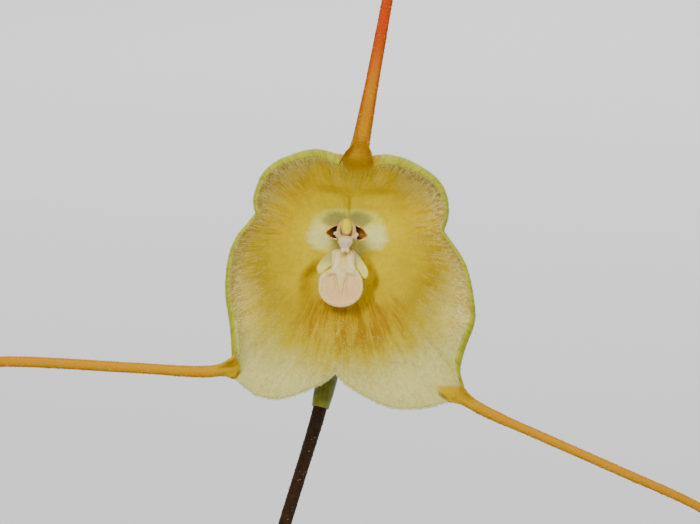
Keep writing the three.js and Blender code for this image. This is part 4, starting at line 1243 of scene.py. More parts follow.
# %% [markdown]
# The column is a short pinkish stalk. Its tip is a thin hood that arches over the yellow anther cap; under
# the cap hangs a rounded knob that narrows to two tiny lobes. A small pale tooth stands on each side of the
# hood, in front of the petal.

# %% Column
ROUND = np.linspace(0, 2 * math.pi, 40, endpoint=False)
shaft = roll_skin("shaft", with_ends(np.array([
    [(x + rx * math.cos(a), y + ry * math.sin(a), z) for a in ROUND]
    for x, y, z, rx, ry in (
        (-0.5, 3.5, -9.3, 1.05, 1.7), (-0.5, 3.5, -8.2, 0.85, 1.5), (-0.5, 3.6, -6.6, 0.85, 1.5),
        (-0.5, 3.8, -5.7, 0.86, 1.6), (-0.5, 3.9, -5.35, 0.8, 1.5),
    )
])))
hood = sleeve("hood", [(-1.3, 3.1, -5.25), (-1.46, 3.7, -5.15), (-1.40, 4.5, -5.15), (-1.05, 5.2, -5.25),
                       (-0.46, 5.58, -5.3), (0.13, 5.2, -5.25), (0.46, 4.5, -5.15), (0.52, 3.7, -5.15),
                       (0.36, 3.1, -5.25)], [0.3, 0.3, 0.27, 0.26, 0.3, 0.26, 0.27, 0.3, 0.3], rows=60)
knob = roll_skin("knob", with_ends(np.array([
    [(x + r * math.cos(a), y, z + 0.8 * r * math.sin(a)) for a in ROUND]
    for x, y, z, r in (
        (-0.60, 3.50, -5.05, 0.25), (-0.60, 3.40, -4.98, 0.55), (-0.60, 3.18, -4.88, 0.84),
        (-0.60, 2.85, -4.82, 1.0), (-0.61, 2.50, -4.82, 0.98), (-0.63, 2.15, -4.86, 0.78),
        (-0.65, 1.85, -4.92, 0.56), (-0.66, 1.65, -4.98, 0.42), (-0.66, 1.50, -5.06, 0.3),
        (-0.66, 1.42, -5.12, 0.15),
    )
])))
lobes = [ball("knob_lobe", (x, 1.5, -4.62), (0.28, 0.27, 0.28)) for x in (-0.97, -0.35)]
teeth = [ball("tooth", middle, radii) for middle, radii in (
    ((-1.9, 3.72, -5.1), (0.27, 0.24, 0.28)), ((0.88, 3.55, -5.1), (0.26, 0.24, 0.28)),
    ((-1.68, 3.38, -5.15), (0.2, 0.22, 0.22)), ((0.72, 3.2, -5.15), (0.2, 0.22, 0.22)),
)]
column = carry(fused("column_body", [shaft, hood, knob, *lobes, *teeth], 0.07, 3))

waxy = new_finish(
    "column_finish", Roughness=0.42, Subsurface_Weight=0.25, Subsurface_Scale=0.0005,
    Subsurface_Radius=(1.0, 0.5, 0.3), Specular_IOR_Level=0.3)
point = flower_point()
x, y, z = parts_of(point)
colour = blend(ramp(y, 3.6, 3.0), tint(0.66, 0.43, 0.16), tint(0.80, 0.60, 0.36))
colour = blend(ramp(y, 4.7, 5.5), colour, tint(0.40, 0.33, 0.10))
colour = blend(ramp(y, 2.1, 1.5), colour, tint(0.88, 0.73, 0.42))
beside = ramp(power_of(x, -0.5, 1.15, 2.0), 1.0, 1.25)
colour = blend(beside, colour, tint(0.92, 0.62, 0.36))
colour = blend(ramp(z, -5.6, -7.0), colour, tint(0.42, 0.40, 0.12))
colour = mottled(colour, point, 2.4, 0.14)["Color"]
give(Base_Color=colour)
emboss(noise(point, 9.0), 0.25, 0.00006)
settle(column, waxy, "column", "column")

# %% [markdown]
# The anther cap is an egg-shaped yellow lid with a shallow furrow down its middle. It sits in the hood.

# %% Anther cap
cap = ball("anther_lid", (-0.46, 4.58, -4.72), (0.72, 1.08, 0.72))
for vertex in cap.data.vertices:
    x, y, z = vertex.co
    furrow = math.exp(-((x + 0.46) / 0.14) ** 2) * max(0.0, z + 4.72)
    vertex.co.z -= 0.16 * furrow
    vertex.co.x -= 0.14 * (vertex.co.x + 0.46) * max(0.0, 4.2 - y)
pick(cap)
bpy.ops.object.shade_smooth()
carry(cap)
cap_finish = new_finish("anther_finish", Roughness=0.35, Subsurface_Weight=0.2, Subsurface_Scale=0.0004)
point = flower_point()
_, y, _ = parts_of(point)
colour = blend(ramp(y, 4.6, 3.7), tint(0.80, 0.66, 0.0), tint(0.90, 0.66, 0.12))
colour = mottled(colour, point, 3.0, 0.12)["Color"]
give(Base_Color=colour)
settle(cap, cap_finish, "anther", "anther_cap")

# %% [markdown]
# Each petal is a small ear beside the column: a pale margin round a glossy dark-brown hollow. It starts on
# a narrow base deep in the cup and widens to its three-cornered face.

# %% Petals
petal_finish = new_finish("petal_finish", Roughness=0.42, Specular_IOR_Level=0.3)
hollow = attribute("hollow")
point = flower_point()
x, _, _ = parts_of(point)
ear = blend(ramp(noise(point, 2.2), 0.4, 0.6), tint(0.52, 0.24, 0.02), tint(0.86, 0.62, 0.28))
from_middle = abs(x + 0.5)
inner = blend(ramp(from_middle, 1.5, 2.4), tint(0.07, 0.018, 0.0), tint(0.38, 0.15, 0.0))
dark = mottled(inner, point, 2.5, 0.5)
colour = blend(ramp(hollow, 0.25, 0.6), ear, dark["Color"])
give(Base_Color=colour)

PETALS = {
    "petal_left": ([(-1.5, 4.85), (-2.1, 4.75), (-2.75, 4.35), (-3.22, 3.8), (-2.85, 3.3), (-2.2, 2.95),
                    (-1.6, 2.95), (-1.4, 3.9)], (-2.3, 3.6)),
    "petal_right": ([(0.6, 4.85), (0.55, 3.9), (0.65, 2.9), (1.3, 2.68), (1.9, 2.95), (2.32, 3.5),
                     (1.95, 4.1), (1.3, 4.6)], (1.3, 3.6)),
}
for name, (outline, base) in PETALS.items():
    loop = closed_outline(outline, 48)
    middle = loop.mean(0)
    rows, marks = [], []
    for share, z, near_base, mark in (
        (0.45, -9.0, 1, 0), (0.5, -8.0, 0.8, 0), (0.62, -6.9, 0.4, 0), (0.86, -6.1, 0.1, 0),
        (0.97, -5.65, 0, 0), (1.0, -5.42, 0, 0), (0.97, -5.3, 0, 0), (0.9, -5.26, 0, 0), (0.82, -5.3, 0, 0.2),
        (0.77, -5.42, 0, 1), (0.70, -5.65, 0, 1), (0.5, -5.95, 0, 1), (0.22, -6.05, 0, 1),
    ):
        centre = middle + (np.array(base) - middle) * near_base
        rows.append(np.column_stack([centre + (loop - middle) * share, np.full(len(loop), z)]))
        marks.append(mark)
    rows = with_ends(np.array(rows))
    marks = np.array([marks[0], *marks, marks[-1]], float)
    petal = roll_skin(name + "_ear", rows, {"hollow": marks[:, None]})
    modifier = petal.modifiers.new("finer", "SUBSURF")
    modifier.levels = modifier.render_levels = 1
    pick(petal)
    bpy.ops.object.modifier_apply(modifier=modifier.name)
    settle(carry(petal), petal_finish, "petal", name)

# %% [markdown]
# The lip hangs in front of the cup like a small round dish. The blade has a raised edge, two hollow fields
# and a keel that narrows downwards between them. Two pale ridges with a groove between them lead up the
# neck, and a thin wing stands on each side of it.

# %% Lip
BLADE_MIDDLE = np.array([-1.22, -3.35, -4.75])
BLADE_RADII = (2.92, 2.56)
BLADE_SHOULDER = 2.8
blade_columns = 120
around = 2 * np.pi * np.arange(blade_columns) / blade_columns
squareness = np.where(np.sin(around) > 0, 2 / BLADE_SHOULDER, 1.0)
blade_edge = np.column_stack([
    BLADE_RADII[0] * np.sign(np.cos(around)) * np.abs(np.cos(around)) ** squareness,
    BLADE_RADII[1] * np.sign(np.sin(around)) * np.abs(np.sin(around)) ** squareness,
])


def blade_relief(x, y, share):
    """Height of the dish's face."""
    off = np.abs(x)
    bead = 0.22 * np.exp(-(((share - 0.91) / 0.07) ** 2)) * (1 - smooth(0.8, 1.8, y))
    half_width = 0.2 + 0.42 * smooth(-1.0, 2.0, y)
    keel = 0.34 * (1 - smooth(0.8 * half_width, 1.3 * half_width, off)) * smooth(-1.4, 0.2, y)
    crease = -0.18 * np.exp(-(((off - 1.2 * half_width) / 0.12) ** 2)) * smooth(-0.7, 0.5, y)
    edge = 1.72 - 0.16 * (off - 0.7) ** 2
    brow = 0.4 * smooth(-0.12, 0.3, y - edge) * smooth(0.45, 0.8, off) * (1 - smooth(1.6, 2.1, off))
    under_brow = -0.16 * np.exp(-(((y - edge + 0.12) / 0.14) ** 2)) * smooth(0.4, 0.7, off)
    under_brow = under_brow * (1 - smooth(1.2, 1.9, off))
    cushion = 0.14 * np.exp(-((off - 1.3) ** 2 + (y + 0.1) ** 2) / 0.9)
    return 0.2 * share**2 + bead + keel + crease + brow + under_brow + cushion


rows = []
for share in np.linspace(0.02, 0.97, 44):
    x, y = (blade_edge * share).T
    rows.append(np.column_stack([x, y, blade_relief(x, y, share)]))
for share, z in (
    (0.99, 0.22), (1.0, 0.08), (0.985, -0.08), (0.94, -0.2), (0.8, -0.4), (0.55, -0.62), (0.25, -0.75),
):
    rows.append(np.column_stack([blade_edge * share, np.full(blade_columns, z)]))
blade = roll_skin("blade", with_ends(np.array(rows) + BLADE_MIDDLE))

ridges = [sleeve("ridge", path, [0.42, 0.52, 0.58, 0.56, 0.46, 0.34, 0.2], rows=48) for path in (
    [(-1.15, 1.4, -6.6), (-1.5, 0.9, -5.9), (-1.66, 0.1, -5.3), (-1.78, -0.6, -4.95), (-2.3, -1.12, -4.8),
     (-2.95, -1.5, -4.75), (-3.35, -1.95, -4.7)],
    [(-0.35, 1.4, -6.6), (-0.05, 0.9, -5.9), (0.05, 0.1, -5.3), (0.14, -0.6, -4.95), (0.55, -1.12, -4.8),
     (0.95, -1.5, -4.75), (1.15, -1.95, -4.7)],
)]
floor_of_neck = sleeve("neck", [
    (-0.75, 1.3, -8.6), (-0.8, 0.9, -7.0), (-0.82, 0.0, -5.85), (-0.85, -1.0, -5.2), (-1.05, -2.3, -4.9),
], [0.8, 0.85, 0.9, 0.8, 0.6], rows=40)


def wing(name, outline, bulge):
    """A thin curved wing: it slopes towards the blade and is hollow on the side of the neck."""
    loop = closed_outline(outline, 60)
    middle = loop.mean(0)
    rows = []
    for share, lift in (
        (0.2, -0.3), (0.6, -0.3), (0.88, -0.24), (1.0, 0.0), (0.88, 0.2), (0.6, 0.2), (0.2, 0.18),
    ):
        flat = middle + (loop - middle) * share
        z = -6.9 - 0.42 * (flat[:, 1] - 1) + lift + bulge * np.linalg.norm(flat - [-0.9, 0.6], axis=1)
        rows.append(np.column_stack([flat, z]))
    return roll_skin(name, with_ends(np.array(rows)))


left_wing = wing("wing", [(-1.6, 1.7), (-2.8, 1.2), (-3.45, 0.7), (-4.05, -0.1), (-4.38, -0.75), (-4.1, -1.5),
                          (-3.75, -1.6), (-3.1, -1.05), (-2.6, -0.7), (-1.9, -0.3)], 0.12)
right_wing = wing("wing", [(0.2, 1.7), (0.85, 1.25), (1.45, 0.5), (2.1, -0.5), (2.4, -1.3), (2.15, -2.15),
                           (1.75, -2.1), (1.2, -1.3), (0.65, -0.7), (0.1, -0.3)], 0.12)
lip = carry(fused("lip_dish", [blade, *ridges, floor_of_neck, left_wing, right_wing], 0.06, 3))

lip_finish = new_finish(
    "lip_finish", Roughness=0.42, Subsurface_Weight=0.25, Subsurface_Scale=0.0005,
    Subsurface_Radius=(1.0, 0.5, 0.3), Specular_IOR_Level=0.35)
point = flower_point()
x, y, _ = parts_of(point)
from_middle = power_of(x, -1.22, 2.84, 2.0) + power_of(y, -3.35, 2.5, 2.0)
blade_colour = blend(ramp(from_middle, 0.5, 0.95), tint(0.92, 0.58, 0.23), tint(0.93, 0.70, 0.28))
keel = power_of(x, -1.2, 0.72, 1.0) - (y + 3.2) * 0.25
blade_colour = blend(ramp(keel, 0.95, 0.6) * ramp(y, -4.4, -3.2), blade_colour, tint(0.90, 0.66, 0.24))
keel_side = ramp(keel, 1.3, 1.0) * ramp(keel, 0.7, 1.0)
keel_side = keel_side * ramp(y, -4.2, -3.0)
blade_colour = blend(keel_side * 0.6, blade_colour, tint(0.60, 0.40, 0.15))
blade_colour = blend(ramp(y, -4.4, -5.9), blade_colour, tint(0.90, 0.60, 0.22))
in_groove = ramp(power_of(x, -0.82, 0.5, 2.0), 1.2, 0.2) * ramp(y, -1.8, -0.6)
neck_colour = blend(in_groove, tint(0.93, 0.74, 0.36), tint(0.80, 0.66, 0.16))
in_neck = ramp(y, -2.2, -1.5) * ramp(power_of(x, -0.85, 1.5, 2.0), 1.15, 0.85)
# Painted shade: the wings are darker towards the top, and more so beside the neck.
wing_colour = blend(ramp(y, 0.8, -0.8), tint(0.50, 0.47, 0.11), tint(0.80, 0.75, 0.14))
wing_colour = blend(ramp(x, -4.0, -4.35), wing_colour, tint(0.93, 0.55, 0.20))
painted_shadow_beside_neck = ramp(abs(x + 0.85), 2.0, 1.1)
wing_colour = blend(painted_shadow_beside_neck * 0.7, wing_colour, tint(0.42, 0.36, 0.14))
colour = blend(ramp(from_middle, 1.1, 1.3), blade_colour, wing_colour)
colour = blend(in_neck, colour, neck_colour)
colour = mottled(colour, point, 2.2, 0.08)["Color"]
give(Base_Color=colour)
emboss(noise(point, 7.0, 3.0), 0.3, 0.00006)
settle(lip, lip_finish, "lip", "lip")

# %% [markdown]
# ## Ovary, bract and stem
# Behind the cup the ovary bends down. It is ribbed, six ribs round, and narrows to a stalk that stands in
# the bract, a green tube with a slanted mouth. Below the bract the stem runs down to the moss: dark, thin
# and warty.

# %% Ovary and bract
ovary_path = [(-3.6, -17.2, -14.2), (-3.05, -14.2, -14.9), (-2.3, -9.5, -16.4), (-1.5, -4.5, -17.9),
              (-0.9, -0.6, -18.0), (-0.6, 2.0, -16.3), (-0.5, 3.0, -13.6), (-0.5, 3.1, -10.2)]
shares = np.linspace(0, 1, 90)
turns = 2 * np.pi * np.arange(48) / 48
swell = smooth(0.62, 0.8, shares)[:, None]
radii = (0.48 + 0.87 * swell * (1 + 0.11 * np.cos(6 * turns) + 0.02 * np.cos(18 * turns))
         - 0.2 * smooth(0.93, 1, shares)[:, None])
rings = tube_rings(line_through(ovary_path, shares), radii, 48)
ovary = roll_skin("ribbed_ovary", with_ends(rings), {
    "rib": np.cos(6 * turns) * 0.5 + 0.5,
    "along": np.concatenate([[0], shares, [1]])[:, None],
})
ovary_finish = new_finish("ovary_finish", Roughness=0.42)
point = flower_point()
colour = blend(attribute("rib"), tint(0.13, 0.17, 0.02), tint(0.26, 0.26, 0.04))
colour = blend(ramp(attribute("along"), 0.8, 1.0), colour, tint(0.46, 0.40, 0.03))
dots = use_group(papillae, {"Point": point, "Per_mm": 2.6})
colour = blend(dots["Tip"] * 0.6, colour, tint(0.12, 0.05, 0.02))
give(Base_Color=colour)
emboss(dots["Height"], 0.5, 0.0001)
settle(carry(ovary), ovary_finish, "bract", "ovary")

bract_path = [(-3.96, -19.3, -13.82), (-3.66, -18.0, -14.05), (-3.4, -16.9, -14.3), (-2.85, -14.2, -14.9),
              (-2.2, -9.5, -16.4)]
shares = np.linspace(0, 1, 60)
line = line_through(bract_path, shares)
veins = 0.008 * np.cos(14 * turns) * smooth(0.02, 0.15, shares)[:, None]
foot = 0.06 * np.exp(-((shares / 0.035) ** 2))
outer = tube_rings(line, (1.03 + 0.62 * shares**0.45 + foot)[:, None] + veins, 48)
inner = tube_rings(line, 0.9 + 0.38 * shares, 48)
slant = smooth(0.75, 1, shares)[:, None]
for rings in (outer, inner):
    rings[..., 1] += (rings[..., 0] + 2.35) * 0.9 * slant
rows = np.concatenate([outer, inner[::-1]])
bract = roll_skin("bract_tube", np.concatenate([rows, rows[:1]]), {
    "along": np.concatenate([shares, shares[::-1], [0]])[:, None],
    "vein": np.cos(14 * turns) * 0.5 + 0.5,
})
bract_finish = new_finish(
    "bract_finish", Roughness=0.36, Specular_IOR_Level=0.35, Coat_Weight=0.1, Coat_Roughness=0.15)
point = flower_point()
along = attribute("along")
colour = blend(attribute("vein"), tint(0.115, 0.12, 0.006), tint(0.15, 0.155, 0.010))
colour = blend(ramp(along, 0.17, 0.03), colour, tint(0.23, 0.26, 0.012))
colour = blend(ramp(along, 0.85, 1.0), colour, tint(0.24, 0.16, 0.05))
colour = mottled(colour, point, 1.4, 0.3)["Color"]
give(Base_Color=colour)
emboss(noise(point, 5.0, 3.0), 0.5, 0.00012)
settle(carry(bract), bract_finish, "bract", "bract")

# %% [markdown]
# The stem stands in the moss and carries the flower. Its warts are blunt, some of them pale. Two papery
# sheaths wrap it on the way up, each with a slanted mouth.

# %% Flower stem
stem_path = [
    (-13, -2, 52), (-13.5, -2.5, 66), (-14, -4, 100), (-10, -6, 150), (-1.35, -7.8, 192), (3.76, -8.4, 209),
    *(in_row([(-4.02, -19.5, -13.86), (-3.84, -18.4, -14.0)]) / MM),
]
STEM_SIDES = 28
shares = np.linspace(0, 1, 360)
stem_line = line_through(stem_path, shares)
stem_radius = 0.95 - 0.10 * smooth(0, 0.8, shares) + 0.08 * smooth(0.95, 1, shares)
knots = 0.25 * (np.exp(-((shares - 0.26) / 0.006) ** 2) + np.exp(-((shares - 0.56) / 0.006) ** 2))
rings = tube_rings(stem_line, stem_radius + knots, STEM_SIDES)
stem = roll_skin("warty_stem", with_ends(rings) * MM, {
    "along": np.concatenate([[0], shares, [1]])[:, None],
})
stem_finish = new_finish("stem_finish", Roughness=0.5, Specular_IOR_Level=0.15)
point = object_point()
patches = mottled(tint(0.036, 0.013, 0.003), point, 1.3, 0.6)
colour = blend(ramp(attribute("along"), 0.25, 0.0), patches["Color"], tint(0.05, 0.06, 0.01))
give(Base_Color=colour)
grain = use_group(papillae, {"Point": point, "Per_mm": 3.0})
emboss(grain["Height"], 0.6, 0.00012)
settle(stem, stem_finish, "stem", "flower_stem")

stem_wart_finish = new_finish("stem_wart_finish", Roughness=0.45, Specular_IOR_Level=0.2)
colour = blend(ramp(attribute("chance"), 0.82, 0.97), tint(0.056, 0.024, 0.006), tint(0.42, 0.28, 0.13))
give(Base_Color=colour)
count = 4200
rows = (len(rings) - 1) * (0.08 + 0.915 * chance_draw.random(count))
place, _, _ = on_skin(rings, rows, STEM_SIDES * chance_draw.random(count))
middle = on_skin(stem_line[:, None], rows, np.zeros(count))[0]
size = 0.06 + 0.06 * chance_draw.random(count)
outwards = unit(place - middle)
stem_warts = copies_of(wart_shape, "stem_warts", aim(outwards, size, size * 1.4) * MM,
                       (place - 0.03 * outwards) * MM, chance_draw.random(count))
settle(stem_warts, stem_wart_finish, "stem")

sheath_finish = new_finish("sheath_finish", Roughness=0.6)
point = object_point()
stretched = vector_step("MULTIPLY", point, (3.0, 3.0, 0.25))
fibres = noise(stretched, 1.0, 3.0)
colour = blend(ramp(fibres, 0.35, 0.65), tint(0.16, 0.08, 0.03), tint(0.34, 0.22, 0.10))
give(Base_Color=colour)
turns = 2 * np.pi * np.arange(STEM_SIDES) / STEM_SIDES
up_sheath = np.linspace(0, 1, 26)
for number, start in enumerate((0.26, 0.56)):
    stretch = np.linspace(start, start + 0.055, 26)
    line = line_through(stem_path, stretch)
    reach = np.interp(stretch, shares, stem_radius) + 0.12 + 0.22 * smooth(0, 1, up_sheath) ** 2
    outer, inner = tube_rings(line, reach, STEM_SIDES), tube_rings(line, reach - 0.09, STEM_SIDES)
    cut = smooth(0.35, 1, up_sheath)[:, None] * (1.6 * np.cos(turns + number * 2.2) - 1.2)
    for grid in (outer, inner):
        grid[..., 2] += cut
    rows = np.concatenate([outer, inner[::-1], outer[:1]])
    sheath = roll_skin(f"stem_sheath_{number + 1}", rows * MM)
    settle(sheath, sheath_finish, "stem")

# %% [markdown]
# ## Leaves
# A shoot is a thin upright stalk with one strap-shaped leaf. The stalk is round; over a few millimetres it
# flattens into the blade, which is folded along its middle at first and opens towards the tip. The blade
# has a keel below, thin margins, and leans over in an arch. Each shoot has a heading, a lean and a length
# of its own.

# %% Leaves
FOOT_DEPTH, LEAF_HALF_WIDTH, LEAF_THICKNESS, STALK_RADIUS = 10, 9.5, 0.8, 1.05
SHOOT_FEET = [(-4, 6), (9, 9), (-14, 14), (2, 19), (17, 17), (-25, 5), (22, 2), (-9, -8), (6, -9), (-20, -16),
              (19, -17), (-2, -22)]
state = 7


def next_draw():
    """The next number from 0 to 1 of a fixed row of them."""
    global state
    state = (state * 1664525 + 1013904223) % 4294967296
    return state / 4294967296


def shoot_skin(x, y):
    """Rings of one shoot, with how far each point lies along the blade and across it."""
    heading = math.atan2(y - 2, x + 1) + (next_draw() - 0.5) * 0.9
    lean = 0.1 + 0.009 * math.hypot(x, y) + next_draw() * 0.08
    droop = 0.85 + 0.5 * next_draw()
    length = 104 + 26 * next_draw()
    stalk = 17 + 7 * next_draw()
    half_width = LEAF_HALF_WIDTH * (0.85 + 0.25 * next_draw())
    outward = np.array([math.cos(heading), math.sin(heading), 0.0])
    sideways = np.array([-outward[1], outward[0], 0.0])
    whole = FOOT_DEPTH + stalk + length
    foot = np.array([x, y, 62 - 0.004 * (x * x + y * y)])
    foot = foot - outward * math.sin(lean) * FOOT_DEPTH - np.array([0, 0, math.cos(lean) * FOOT_DEPTH])

    along = np.linspace(0, whole, 17 * 60 + 1)
    bend = lean + droop * np.maximum(0, (along - FOOT_DEPTH - 0.5 * stalk) / length) ** 1.5
    tangents = np.sin(bend)[:, None] * outward + np.cos(bend)[:, None] * [0, 0, 1]
    points = foot + np.vstack([np.zeros(3), np.cumsum(tangents[:-1], axis=0) * whole / (17 * 60)])
    picks = np.unique(np.concatenate([np.arange(0, 1021, 10), np.arange(960, 1021, 3)]))
    along, tangents, points = along[picks], tangents[picks], points[picks]

    blade = (along - FOOT_DEPTH - stalk) / length
    flat = smooth(-0.06, 0.06, blade)[:, None]
    share = np.clip(blade, 0, 1)[:, None]
    swell = share**1.5 * (1 - share**4) / 0.4468
    half = np.maximum(1.15 * (1 - share**8) + 0.12, half_width * swell)
    fold = 0.9 - 0.66 * smooth(0, 0.45, share)
    wrap = 1 + 0.22 * (1 - smooth(-0.09, -0.06, blade))[:, None] * (0.7 + 0.3 * (blade[:, None] < -0.13))
    sides = 15
    index = np.arange(2 * sides)
    across = np.where(index < sides, -1 + 2 * index / (sides - 1), 1 - 2 * (index - sides) / (sides - 1))
    above = index < sides
    turn = np.pi * (1 - index / sides)
    body = LEAF_THICKNESS * (1 - 0.4 * share)
    margin = 0.3 + 0.7 * (1 - np.abs(across) ** 3)
    keel = np.where(above, -0.16, 0.5) * np.exp(-((across / 0.09) ** 2)) * (1 - share)
    ripple = 0.35 * np.sin(share * 21 + half_width * 3) * np.abs(across) ** 3 * smooth(0.15, 0.5, share)
    lift = (np.sqrt(across**2 + 0.02) - 0.14) * half * np.tan(fold) * 0.55
    face = lift + np.where(above, 0.5, -0.5) * body * margin - keel + ripple
    local_x = (STALK_RADIUS * wrap * np.cos(turn)) * (1 - flat) + half * across * flat
    local_y = (STALK_RADIUS * wrap * np.sin(turn)) * (1 - flat) + face * flat
    normals = np.cross(sideways, tangents)
    rings = (points[:, None] - sideways * local_x[..., None] - unit(normals)[:, None] * local_y[..., None])
    marks = {"along": blade[:, None] * np.ones(2 * sides), "across": across * np.ones((len(blade), 1))}
    return rings, marks


leaf_finish = new_finish("leaf_finish", Roughness=0.38, Coat_Weight=0.15, Coat_Roughness=0.3)
point = object_point()
along, across = attribute("along"), attribute("across")
patches = mottled(tint(0.075, 0.16, 0.014), point, 0.09, 0.35)
colour = blend(ramp(along, 0.06, -0.03), patches["Color"], tint(0.22, 0.25, 0.04))
colour = blend(ramp(along, -0.09, -0.12), colour, tint(0.20, 0.12, 0.05))
middle = ramp(abs(across), 0.10, 0.02)
colour = blend(middle * 0.55, colour, tint(0.18, 0.30, 0.04))
edge = ramp(abs(across), 0.94, 1.0)
colour = blend(edge * 0.5, colour, tint(0.26, 0.30, 0.05))
tip = ramp(along, 0.93, 1.0) * ramp(patches["Value"], 0.45, 0.6)
colour = blend(tip, colour, tint(0.30, 0.20, 0.05))
give(Base_Color=colour)
stripes = add_node("CombineXYZ", {0: across * 9.0, 1: along * 4.0})[0]
veins = noise(stripes, 1.0)
pores = noise(point, 1.6, 3.0)
relief = veins + pores * 0.35
emboss(relief, 0.45, 0.0006)

shoot_feet = []
for number, (x, y) in enumerate(SHOOT_FEET, 1):
    rings, marks = shoot_skin(x, y)
    shoot_feet.append(rings[:20].mean(1))
    marks = {key: np.concatenate([grid[:1], grid, grid[-1:]]) for key, grid in marks.items()}
    leaf = roll_skin(f"leaf_{number:02d}", with_ends(rings) * MM, marks)
    settle(leaf, leaf_finish, "leaf", f"leaf_shoot_{number:02d}")

# %% [markdown]
# ## Moss
# The basket is filled with bog moss. A soft body fills the inside and swells into the gaps between the
# slats. On top of it, and in the gaps, sit small star-shaped heads, each with a ring of drooping branches
# round a tuft.

# %% Moss body
SLAT_LENGTH, SLAT_WIDTH, SLAT_HEIGHT = 120, 9, 8
LAYER_STEP = SLAT_HEIGHT + 0.2
WALL_LAYERS, FLOOR_SLATS = 6, 7
CROSSING = 50.5
BASKET_TOP = WALL_LAYERS * LAYER_STEP + SLAT_HEIGHT
INNER_FACE = CROSSING - SLAT_WIDTH / 2
MOSS_SHOULDER = 57.0


def moss_top(x, y):
    """Height of the moss over a place in the basket."""
    lumps = 1.3 * np.sin(x / 5.1 + 0.6 * y / 7) * np.cos(y / 4.3 - 1) + 0.8 * np.sin(x / 2.3 + y / 3)
    return 63.6 - 0.0018 * (x * x + y * y) + 0.8 * lumps


def moss_height(x, y, share):
    """The same, rounded off to the shoulder where share nears 1, at the walls."""
    return MOSS_SHOULDER + (moss_top(x, y) - MOSS_SHOULDER) * smooth(1.0, 0.86, share)


def slat_beside(z, odd):
    """1 where a slat of the odd (or even) wall layers stands at this height, 0 in the gap between two."""
    layer = np.floor(z / LAYER_STEP)
    inside = (z - layer * LAYER_STEP > -0.3) & (z - layer * LAYER_STEP < SLAT_HEIGHT + 0.5)
    return ((layer % 2 == (1 if odd else 0)) & inside & (layer >= 1) & (layer <= WALL_LAYERS)).astype(float)


moss_columns = 176
around = 2 * np.pi * np.arange(moss_columns) / moss_columns
corner = (np.abs(np.cos(around)) ** 7 + np.abs(np.sin(around)) ** 7) ** (-1 / 7)
flat_x, flat_y = corner * np.cos(around), corner * np.sin(around)
rows = [np.column_stack([flat_x * share * 45, flat_y * share * 45, np.full(moss_columns, 8.4)])
        for share in (0.2, 0.5, 0.8, 0.97)]
for z in np.linspace(8.6, 56.6, 90):
    swell = 1.2 * np.sin(around * 17 + z * 0.6) * np.sin(z * 0.9 + around * 5)
    reach = 48.4 + 0.5 * swell
    x, y = flat_x * reach, flat_y * reach
    limit_x = np.where(slat_beside(z, True) > 0, INNER_FACE - 0.5, 49.5)
    limit_y = np.where(slat_beside(z, False) > 0, INNER_FACE - 0.5, 49.5)
    rows.append(np.column_stack([np.clip(x, -limit_x, limit_x), np.clip(y, -limit_y, limit_y),
                                 np.full(moss_columns, z)]))
for share in np.linspace(0.985, 0.02, 44):
    x, y = flat_x * share * (INNER_FACE - 0.6), flat_y * share * (INNER_FACE - 0.6)
    rows.append(np.column_stack([x, y, moss_height(x, y, share)]))
moss = roll_skin("moss_body", with_ends(np.array(rows)) * MM)

moss_finish = new_finish("moss_finish", Roughness=0.95, Specular_IOR_Level=0.1)
point = object_point()
clumps = noise(point, 0.10, 4.0)
fibres = add_node("TexVoronoi", {"Vector": point, "Scale": 0.75})["Distance"]
colour = blend(ramp(clumps, 0.35, 0.65), tint(0.10, 0.13, 0.02), tint(0.26, 0.22, 0.06))
# Painted shade: the moss is darkened almost to black in the dents of its relief, between the cells.
colour = blend(ramp(fibres, 0.2, 0.8), colour, tint(0.05, 0.045, 0.012))
give(Base_Color=colour)
emboss(fibres, 0.9, 0.0012, invert=True)
settle(moss, moss_finish, "moss", "moss")

# %% [markdown]
# A head of bog moss is a star: seven long branches that droop and four short upright ones. The copies grow
# out of the moss's top and, smaller and lying flatter, out of the gaps between the slats.

# %% Moss heads
branch_tools = []
for number in range(11):
    clear_selection()
    bpy.ops.mesh.primitive_cone_add(
        vertices=3, radius1=0.17, depth=1, end_fill_type="NOTHING", location=(0, 0, 0.5))
    branch = bpy.context.object
    bpy.ops.object.transform_apply(location=True)
    outer = number < 7
    angle = number * 2 * math.pi / 7 if outer else (number - 7) * math.pi / 2 + 0.4
    tilt = 1.28 if outer else 0.42
    stretch = (1.0 if number % 2 else 0.82) if outer else 0.62
    branch.data.transform(
        Matrix.Rotation(angle, 4, "Z") @ Matrix.Rotation(tilt, 4, "Y") @ Matrix.Diagonal((1, 1, stretch, 1)))
    branch_tools.append(branch)
pick(*branch_tools)
bpy.ops.object.join()
head_shape = bpy.context.object
head_shape.name = "head_shape"

moss_draw = np.random.default_rng(23)
head_finish = new_finish("moss_head_finish", Roughness=0.85, Specular_IOR_Level=0.2)
chance = attribute("chance")
point = object_point()
green = blend(chance, tint(0.16, 0.21, 0.03), tint(0.40, 0.42, 0.09))
dry = blend(chance, tint(0.42, 0.34, 0.13), tint(0.30, 0.20, 0.07))
zones = noise(point, 0.055, 3.0)
colour = blend(ramp(zones, 0.50, 0.66), green, dry)
give(Base_Color=colour)

